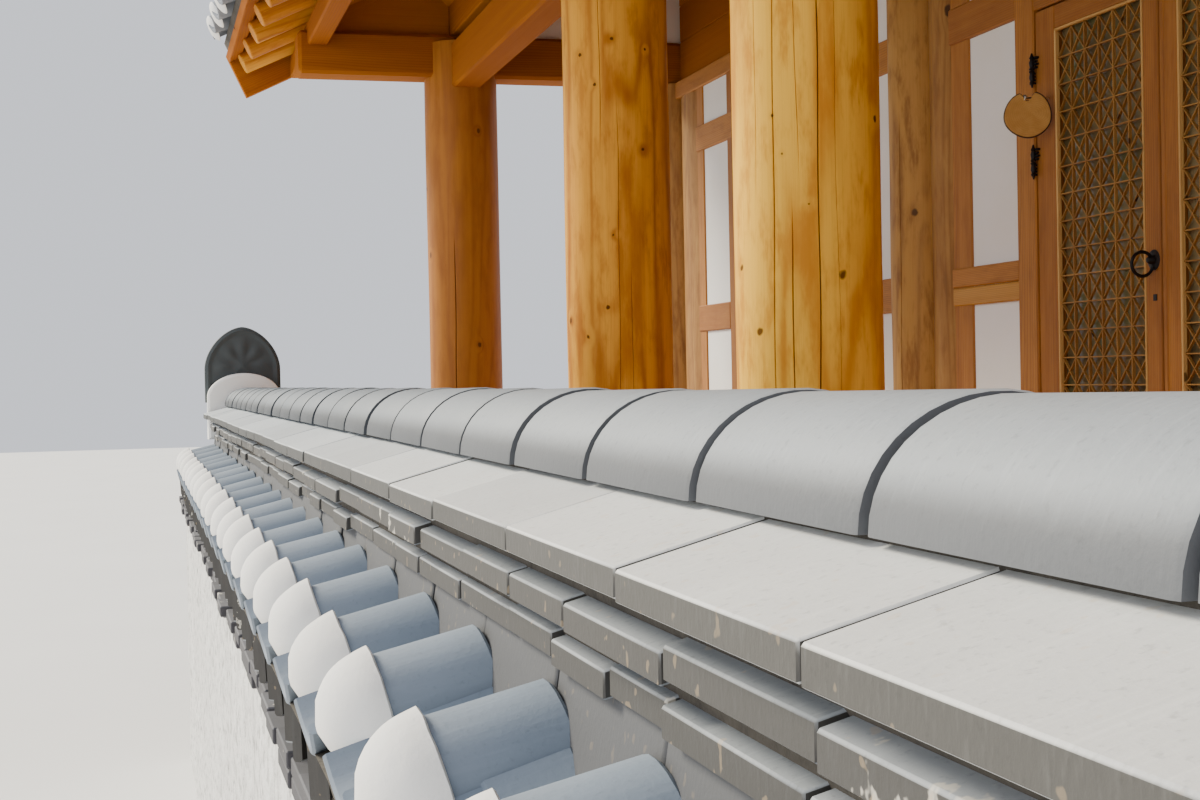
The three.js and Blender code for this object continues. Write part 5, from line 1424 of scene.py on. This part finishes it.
cap_low, cap_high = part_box("low_wall_end_cap")
tile_low, tile_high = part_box("low_wall_end_tile")
cap_half, tile_half = (cap_high.y - cap_low.y) / 2, (tile_high.y - tile_low.y) / 2
CAP_LONG, CAP_SPRING, CAP_MIDDLE = 0.123, 1.500, (0.0, 1.45)
cap_steps = np.array([0, 0.001, 0.002, 0.006, 0.02, 0.09, 0.108, 0.118, 0.121, CAP_LONG]) / CAP_LONG
cap_shares = [0.001, 0.5, 0.9, 0.97, 1.0, 1.0, 0.985, 0.93, 0.6, 0.001]
cap_x = np.interp(cap_steps, [0, 1], [cap_low.x + 0.0405, cap_high.x])
cap_outline = arch_outline(cap_half, cap_low.z, CAP_SPRING, cap_high.z)
collar = stepped(cap_outline, cap_x, cap_shares, CAP_MIDDLE)
collar[..., 1] -= waves(collar, 0.12, 5) * 0.004 * np.sign(collar[..., 1] - WALL_Y)
collar = np.clip(collar, tuple(cap_low), tuple(cap_high))
ledge_y = cap_low.y + 0.004, cap_high.y - 0.004
ledge = planks([(cap_low.x + 0.002, cap_low.x + 0.06, *ledge_y, cap_low.z, tile_low.z - 0.001)], 0.012)
make("end_lime_collar", [skin(collar), ledge], LIME, replaces=["low_wall_end_cap"])


def relief_tile():
    """The tile's faces carry a raised rim and a ring of eight low lobes: height = rim + cos(8 a) petals."""
    outline = arch_outline(tile_half, tile_low.z, 1.615, tile_high.z, count=96, point=0.2)
    centre = np.array([0.0, 1.630])
    shares = np.concatenate([np.linspace(0.02, 0.96, 22), [0.99, 1.0]])
    ring = outline[None] - centre
    angle = np.arctan2(ring[..., 1], ring[..., 0])
    reach = shares[:, None]
    petals = 0.5 + 0.5 * np.cos(8 * angle)
    lobes = np.exp(-(((reach - 0.52) / 0.20) ** 2)) * petals + np.exp(-((reach / 0.16) ** 2)) * 0.8
    rim = np.exp(-(((reach - 0.90) / 0.05) ** 2))
    height = (0.006 * lobes + 0.007 * rim) * np.where(reach < 0.97, 1, 0)
    thick, middle = (tile_high.x - tile_low.x) / 2, (tile_high.x + tile_low.x) / 2
    base = thick - 0.0075 - 0.004 * (reach > 0.995)
    front = stepped(outline, np.full(len(shares), middle), shares, centre)
    back = front[::-1].copy()
    front[..., 0] = middle + base + height
    back[..., 0] = middle - (base + height)[::-1]
    return skin(np.concatenate([front, back]))


make("end_relief_tile", [relief_tile()], END_CLAY, replaces=["low_wall_end_tile"])

# %% [markdown]
# ## Iron hinges
# Each leaf turns on three iron hinges: long spindles with split, fringed ends. A spindle is a tube whose
# radius follows its height, so one profile of height and radius makes barrel, collars and points. The
# ring pull is a torus, turned so that it hangs out from the leaf.


# %% Hinges, ring pull and their finish
def turned(x, y, profile, around=16):
    """A body of revolution about a vertical line: point = centre + radius(z) * circle."""
    height, radius = np.asarray(profile, float).T[..., None]
    angle = np.linspace(0, 2 * math.pi, around, endpoint=False)
    x, y = x + radius * np.cos(angle), y + radius * np.sin(angle)
    return skin(np.stack(np.broadcast_arrays(x, y, height), axis=-1))


def iron_finish():
    """Hammered black iron with a little rust."""
    f = Finish("black_iron", Metallic=0.7)
    place = f.place()
    hammered, rust = f.noise(place, 160.0, 3.0), f.noise(place, 45.0, 4.0)
    colour = f.mix(rust.step(0.58, 0.75) * 0.5, (0.018, 0.017, 0.017), (0.06, 0.035, 0.022))
    return f.finish(colour, 0.38 + rust * 0.3, hammered, depth=0.0012, strength=0.5)


IRON = iron_finish()
HINGE_Z, HINGE_Y = (1.200, 2.128, 2.383), FACE_Y - 0.009


def half_hinge(x, z, sign, toward):
    """Barrel, collar and fringed tip on one side of the joint between jamb and leaf, with its plate."""
    steps = [(0.0006, 0.0), (0.0006, 0.0070), (0.004, 0.0085), (0.008, 0.0060), (0.022, 0.0080), (0.030, 0.0052)]
    steps += [(0.034, 0.0075), (0.040, 0.0040), (0.048, 0.0018)]
    barrel = turned(x, HINGE_Y, [(z + sign * s, r + 0.0001) for s, r in steps])
    plates = []
    for k in range(4):
        reach, up = 0.012 + 0.006 * (k % 2), 0.005 + 0.009 * k
        x0, x1 = sorted((x, x + toward * reach))
        z0, z1 = sorted((z + sign * up, z + sign * (up + 0.0055)))
        plates.append((x0, x1, HINGE_Y + 0.002, FACE_Y + 0.004, z0, z1))
    return [barrel, planks(plates, 0.001)]


def torus(radius, wire, around=40, section=10):
    """A ring about the Y axis: (R + w cos v) circle(u) in X and Z, and w sin v along Y."""
    u = np.linspace(0, 2 * math.pi, around, endpoint=False)[:, None]
    v = np.linspace(0, 2 * math.pi, section, endpoint=False)[None]
    reach = radius + wire * np.cos(v)
    grid = np.stack(np.broadcast_arrays(reach * np.cos(u), wire * np.sin(v), reach * np.sin(u)), axis=-1)
    rows = np.arange(around * section).reshape(around, section)
    nxt, side = np.roll(rows, -1, axis=0), np.roll(rows, -1, axis=1)
    quads = np.stack([rows, side, np.roll(nxt, -1, axis=1), nxt], axis=-1).reshape(-1, 4)
    return grid.reshape(-1, 3), [quads], {}


def facing(centre, profile, around=24):
    """A turned shape whose axis looks out along -Y. profile rows are (distance out, radius)."""
    out, radius = np.asarray(profile, float).T[..., None]
    angle = np.linspace(0, 2 * math.pi, around, endpoint=False)
    x, z = centre[0] + radius * np.cos(angle), centre[2] + radius * np.sin(angle)
    return skin(np.stack(np.broadcast_arrays(x, centre[1] - out, z), axis=-1))


# %% [markdown]
# ## Lattice doors
# The pattern is a net of small bars: uprights, cross bars, and both diagonals through every crossing, so
# each crossing is a star of eight rays. Bars are worked out as pairs of end points in the door's plane
# and cut to the opening, and one function turns all pairs into thin boxes at once.


# %% Star lattice
def clipped(slope, offsets, width, height):
    """Ends of the lines z = slope * x + offset inside a width by height rectangle."""
    x0, x1 = np.zeros(len(offsets)), np.full(len(offsets), width)
    at_low, at_high = -offsets / slope, (height - offsets) / slope
    first = np.maximum(x0, np.minimum(at_low, at_high))
    last = np.minimum(x1, np.maximum(at_low, at_high))
    keep = last - first > 1e-4
    first, last, offsets = first[keep], last[keep], offsets[keep]
    return np.stack([first, slope * first + offsets, last, slope * last + offsets], axis=1)


def flat_bars(ends, x0, z0, y0, depth, wide):
    """Thin boxes along rows of (xa, za, xb, zb), depth deep from y0 and wide across."""
    a, b = ends[:, :2], ends[:, 2:]
    way = (b - a) / np.linalg.norm(b - a, axis=1)[:, None]
    side = np.stack([-way[:, 1], way[:, 0]], axis=1) * wide / 2
    flat = np.stack([a - side, b - side, b + side, a + side], axis=1)
    points = np.zeros((len(ends), 8, 3))
    points[:, :4, [0, 2]] = points[:, 4:, [0, 2]] = flat + np.array([x0, z0])
    points[:, :4, 1], points[:, 4:, 1] = y0, y0 + depth
    table = np.array([[0, 1, 2, 3], [7, 6, 5, 4], [0, 4, 5, 1], [1, 5, 6, 2], [2, 6, 7, 3], [3, 7, 4, 0]])
    along = np.stack([np.zeros(len(ends)), np.linalg.norm(b - a, axis=1)], axis=1)
    length = along[:, [0, 1, 1, 0, 0, 1, 1, 0]] + random.uniform(0, 30, (len(ends), 1))
    grain = np.stack([length, points[..., 1] * 3, points[..., 2]], axis=-1)
    tint = random.uniform(0, 1, (len(ends), 1, 3))
    return copies((None, [table], None), points, {"grain": grain, "face": grain * (1, 1, 0), "tint": tint})


def star_lattice(x0, x1, z0, z1, y0, cells, rows, bar=0.0034):
    """Uprights and cross bars lie in front of the two sets of diagonals, and all four layers touch."""
    width, height = x1 - x0, z1 - z0
    dx, dz = width / cells, height / rows
    up = np.array([[k * dx, 0, k * dx, height] for k in range(1, cells)])
    over = np.array([[0, k * dz, width, k * dz] for k in range(1, rows)])
    steps = np.arange(-cells, rows + cells + 1) * dz
    rising, falling = clipped(dz / dx, steps, width, height), clipped(-dz / dx, steps, width, height)
    return [
        flat_bars(up, x0, z0, y0 + 0.0010, 0.009, bar * 1.1),
        flat_bars(over, x0, z0, y0 + 0.0015, 0.009, bar),
        flat_bars(rising, x0, z0, y0 + 0.0025, 0.008, bar * 0.8),
        flat_bars(falling, x0, z0, y0 + 0.0030, 0.008, bar * 0.8),
    ]


# %% Door leaves
STILE, MEETING, LEAF_FOOT, LEAF_HEAD = 0.098, 0.069, SILL_TOP + 0.005, UPPER_RAIL[0] - 0.005
PANEL_TOP, LATTICE_FOOT, LATTICE_HEAD, LEAF_THICK = 1.285, 1.350, 2.480, 0.038
LEAF_Y, MEETING_X, EDGE_GAP, BEAD = FACE_Y + 0.003, (DOOR_LEFT + DOOR_RIGHT) / 2, 0.0025, 0.007
LATTICE_CELLS, LATTICE_ROWS = 6, 15


def glass_finish():
    """Panes over a dim room: an opaque olive-brown glossy sheet painted as the room's shade behind the glass, with
    soft cloudy patches and green patches of painted reflection.
    """
    f = Finish("pane_glass", Specular_IOR_Level=0.6)
    cloud = f.noise(f.place(), 3.0, 3.0)
    green_reflection = f.noise(f.place(), 7.0, 2.0)
    # painted shade: the opaque olive-brown sheet and its cloudy patches stand for the dim room behind the glass
    colour = f.mix(cloud.step(0.35, 0.7), (0.15, 0.115, 0.052), (0.30, 0.235, 0.115))
    # painted reflection: green patches on the pane
    colour = f.mix(green_reflection.step(0.50, 0.66) * 0.6, colour, (0.13, 0.155, 0.060))
    return f.finish(colour, 0.16 + cloud * 0.12)


GLASS = glass_finish()
for side, hinge_x, sign in (("left", DOOR_LEFT, 1), ("right", DOOR_RIGHT, -1)):
    outer, inner = hinge_x + sign * EDGE_GAP, MEETING_X - sign * EDGE_GAP
    reach, body, y0, y1 = abs(inner - outer), f"{side}_leaf", LEAF_Y, LEAF_Y + LEAF_THICK

    def span(a, b):
        """x0, x1 of a stretch measured from the hinge edge towards the meeting edge."""
        return sorted((outer + sign * a, outer + sign * b))

    x0, x1 = span(STILE, reach - MEETING)
    rail = (x0, x1, y0 + 0.001, y1)
    panel = (*span(STILE - 0.004, reach - MEETING + 0.004), y0 + 0.012, y1 - 0.012)
    timbers = [
        (*span(0, STILE), y0, y1, LEAF_FOOT, LEAF_HEAD),
        (*span(reach - MEETING, reach), y0, y1, LEAF_FOOT, LEAF_HEAD),
        (*rail, LEAF_FOOT, LEAF_FOOT + 0.08),
        (*rail, PANEL_TOP, LATTICE_FOOT),
        (*rail, LATTICE_HEAD, LEAF_HEAD),
        (*panel, LEAF_FOOT + 0.076, PANEL_TOP + 0.004),
        (*span(reach - 0.018, reach - 0.001), y0 - 0.003, y0 + 0.01, LEAF_FOOT, LEAF_HEAD),
    ]
    deep = (y0 - 0.001, y0 + 0.012)
    bead = [
        (x0, x0 + BEAD, *deep, LATTICE_FOOT, LATTICE_HEAD),
        (x1 - BEAD, x1, *deep, LATTICE_FOOT, LATTICE_HEAD),
        (x0, x1, *deep, LATTICE_FOOT, LATTICE_FOOT + BEAD),
        (x0, x1, *deep, LATTICE_HEAD - BEAD, LATTICE_HEAD),
    ]
    make(f"{side}_leaf_timbers", [planks(timbers, 0.003)], JOINERY, body, [f"{side}_door_leaf"])
    inner_box = (x0 + BEAD, x1 - BEAD, LATTICE_FOOT + BEAD, LATTICE_HEAD - BEAD)
    net = star_lattice(*inner_box, y0 + 0.004, LATTICE_CELLS, LATTICE_ROWS)
    make(f"{side}_leaf_lattice", net, LATTICE, body)
    make(f"{side}_leaf_bead", [planks(bead, 0.0015)], BEADING, body)
    refinish(GLASS, f"{side}_door_pane")
    own, jamb = [], []
    for z in HINGE_Z:
        own += half_hinge(outer, z + 0.0003, 1, sign)
        jamb += half_hinge(outer, z, -1, -sign)
    make(f"{side}_leaf_hinges", own, IRON, body)
    make(f"{side}_jamb_hinges", jamb, IRON)
    if side == "right":
        continue
    ring_x, ring_z, ring_y = inner - 0.029, 1.815, y0 - 0.0003
    boss = [(0.0, 0.0001), (0.0, 0.024), (0.003, 0.026), (0.005, 0.021), (0.006, 0.012), (0.016, 0.010)]
    boss += [(0.021, 0.007), (0.023, 0.0001)]
    hung = lambda p: np.stack([ring_x + p[:, 1], ring_y - 0.036 + p[:, 0], ring_z - 0.010 + p[:, 2]], axis=-1)
    pull = [facing((ring_x, ring_y, ring_z), boss), moved(torus(0.030, 0.0042), hung)]
    pull.append(planks([(ring_x - 0.007, ring_x + 0.007, ring_y - 0.002, ring_y, 1.714, 1.730)], 0.001))
    make("left_ring", pull, IRON, body="left_leaf", replaces=["left_ring_pull"])

# %% [markdown]
# The windows of the outer bays are pairs of sliding panels with a plain lattice of uprights and grouped
# cross bars, and paper behind it.

# %% Window panels
OVERS = (0.04, 0.09, 0.14, 0.44, 0.48, 0.52, 0.56, 0.86, 0.91, 0.96)
for side in ("left", "right"):
    low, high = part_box(f"{side}_bay_window")
    middle, rim, overlap = (low.x + high.x) / 2, 0.055, 0.02
    rows, nets = [], []
    for a, b, back in ((low.x, middle + overlap, 0.0), (middle - overlap, high.x, 0.018)):
        ya, yb = low.y + back, low.y + back + 0.02
        rows += [(a, a + rim, ya, yb, low.z, high.z), (b - rim, b, ya, yb, low.z, high.z)]
        rows += [(a + rim, b - rim, ya, yb, low.z, low.z + rim), (a + rim, b - rim, ya, yb, high.z - rim, high.z)]
        wide, tall = b - rim - (a + rim), high.z - rim - (low.z + rim)
        ups = np.array([[wide * k / 7, 0, wide * k / 7, tall] for k in range(1, 7)])
        overs = np.array([[0, tall * s, wide, tall * s] for s in OVERS])
        nets.append(flat_bars(ups, a + rim, low.z + rim, ya + 0.003, 0.009, 0.008))
        nets.append(flat_bars(overs, a + rim, low.z + rim, ya + 0.004, 0.009, 0.008))
    panels = [planks(rows, 0.002)] + nets
    make(f"{side}_window_panels", panels, JOINERY, replaces=[f"{side}_bay_window"])
    paper_box = (low.x + 0.01, high.x - 0.01, low.y + 0.0385, low.y + 0.0395, low.z + 0.01, high.z - 0.01)
    make(f"{side}_window_paper", [planks([paper_box], 0.0002)], PAPER)

# %% [markdown]
# The round slice on the left leaf is cut across a branch, so its outline is uneven, its rim has bark, and
# its face shows rings round an off-centre heart. It hangs on a long nail and has turned towards the
# house's right end, so its outline is worked out in the turned plane of its own face. The bark is a
# second, slightly wider and thinner slice, so only its rim shows.

# %% Wooden slice
SLICE_AT, SLICE_TURN = np.array([-0.648, 0.930, 2.250]), math.radians(60)
SLICE_R, SLICE_THICK = 0.067, 0.014
slice_side = np.array([math.cos(SLICE_TURN), math.sin(SLICE_TURN), 0])
slice_out = np.array([math.sin(SLICE_TURN), -math.cos(SLICE_TURN), 0])


def wood_slice(rows, around=96):
    """Rings of a wavy circle with a notch at its top: radius = R (1 - waves) (1 - notch). rows are pairs
    of a place through the thickness and a share of the radius."""
    angle = np.linspace(0, 2 * math.pi, around, endpoint=False)
    wavy = 1 - 0.030 * (0.5 + 0.5 * np.sin(3 * angle + 1)) - 0.018 * (0.5 + 0.5 * np.sin(5 * angle))
    wavy = wavy - 0.014 * (1 + np.sin(angle))
    notch = 1 - 0.40 * np.exp(-(((angle - math.pi / 2) / 0.25) ** 4))
    reach = SLICE_R * wavy * notch
    grid = np.zeros((len(rows), around, 3))
    for k, (out, share) in enumerate(rows):
        across, up = reach * share * np.cos(angle), reach * share * np.sin(angle)
        grid[k] = SLICE_AT + across[:, None] * slice_side + up[:, None] * np.array([0, 0, 1]) + out * slice_out
    points, faces, _ = skin(grid)
    local = points - SLICE_AT
    u, v, w = local @ slice_side, local[:, 2], local @ slice_out
    grain, face = np.stack([w, u - 0.012, v * 1.2], axis=-1), np.stack([u + 5, v + 5, 0 * w], axis=-1)
    return points, faces, {"grain": grain, "face": face, "tint": np.full(points.shape, 0.5)}


half = SLICE_THICK / 2
face_rows = [(-half, 0.5), (-half, 0.93), (0.002 - half, 0.96), (half - 0.002, 0.96), (half, 0.93), (half, 0.5)]
bark_rows = [(0.0015 - half, 0.6), (0.0015 - half, 0.975), (0.004 - half, 1.0)]
bark_rows += [(-out, share) for out, share in reversed(bark_rows)]
make("hanging_slice", [wood_slice(face_rows)], SLICE, body="left_leaf", replaces=["wooden_disc"])
make("slice_bark", [wood_slice(bark_rows)], BARK, body="left_leaf")
nail_end = (SLICE_AT[0], SLICE_AT[1] - 0.012, SLICE_AT[2] + 0.046)
nail_long = LEAF_Y - 0.0003 - nail_end[1]
nail = [(-nail_long, 0.0001), (-nail_long, 0.0028), (-0.005, 0.0028), (-0.005, 0.0085), (0.0, 0.0080)]
nail += [(0.0005, 0.0068), (0.0, 0.0052), (-0.0025, 0.0046), (-0.0030, 0.0001)]
make("slice_nail", [facing(nail_end, nail)], SILVER, body="left_leaf")

# %% [markdown]
# ## Camera, floor and light
# The camera stands where the lines of the wall and the front in the photograph put it: just in front of
# the low wall, near its right end and level with the top of its ridge tiles, looking along the front. Its
# turn is worked out from three angles.

# %% Camera
CAMERA_AT = (3.451, -1.45, 1.55)
TURN, DOWN, ROLL = (math.radians(a) for a in (15.59, 0.756, 1.146))
forward = Vector((-math.cos(TURN) * math.cos(DOWN), math.sin(TURN) * math.cos(DOWN), -math.sin(DOWN)))
level = Vector((math.sin(TURN), math.cos(TURN), 0))
plumb = level.cross(forward)
up = plumb * math.cos(ROLL) + level * math.sin(ROLL)
right = level * math.cos(ROLL) - plumb * math.sin(ROLL)
camera = bpy.data.objects.new("camera", bpy.data.cameras.new("camera"))
camera.data.lens, camera.data.sensor_width = 50, 36
camera.matrix_world = Matrix.Translation(CAMERA_AT) @ Matrix((right, up, -forward)).transposed().to_4x4()
bpy.context.scene.collection.objects.link(camera)
bpy.context.scene.camera = camera

# %% Floor and light
FLOOR_HALF = 40.0
floor_mesh = bpy.data.meshes.new("floor")
corners = [(FLOOR_HALF * x, FLOOR_HALF * y, 0) for x, y in ((-1, -1), (1, -1), (1, 1), (-1, 1))]
floor_mesh.from_pydata(corners, [], [(0, 1, 2, 3)])
floor = bpy.data.objects.new("floor", floor_mesh)
bpy.context.scene.collection.objects.link(floor)
ground = Finish("pale_floor")
clouds = ground.noise(ground.place(), 0.7)
floor_mesh.materials.append(ground.finish(ground.mix(clouds, (0.74, 0.73, 0.71), (0.80, 0.79, 0.77)), 0.8))

sky = bpy.data.worlds.new("studio")
sky.use_nodes = True
sky.node_tree.nodes["Background"].inputs[0].default_value = (0.90, 0.93, 1.0, 1.0)
sky.node_tree.nodes["Background"].inputs[1].default_value = 1.0
bpy.context.scene.world = sky


def soft_sun(name, toward, energy, width, colour):
    """A distant soft light that shines along toward. width is its apparent size in degrees."""
    lamp = bpy.data.lights.new(name, "SUN")
    lamp.energy, lamp.angle, lamp.color = energy, math.radians(width), colour
    made = bpy.data.objects.new(name, lamp)
    made.rotation_mode = "QUATERNION"
    made.rotation_quaternion = Vector(toward).to_track_quat("-Z", "Y")
    bpy.context.scene.collection.objects.link(made)


soft_sun("key", (0.75, 0.62, -0.62), 7.0, 18, (1.0, 0.93, 0.76))
soft_sun("fill", (-0.5, 0.8, -0.35), 1.1, 60, (0.97, 0.98, 1.0))
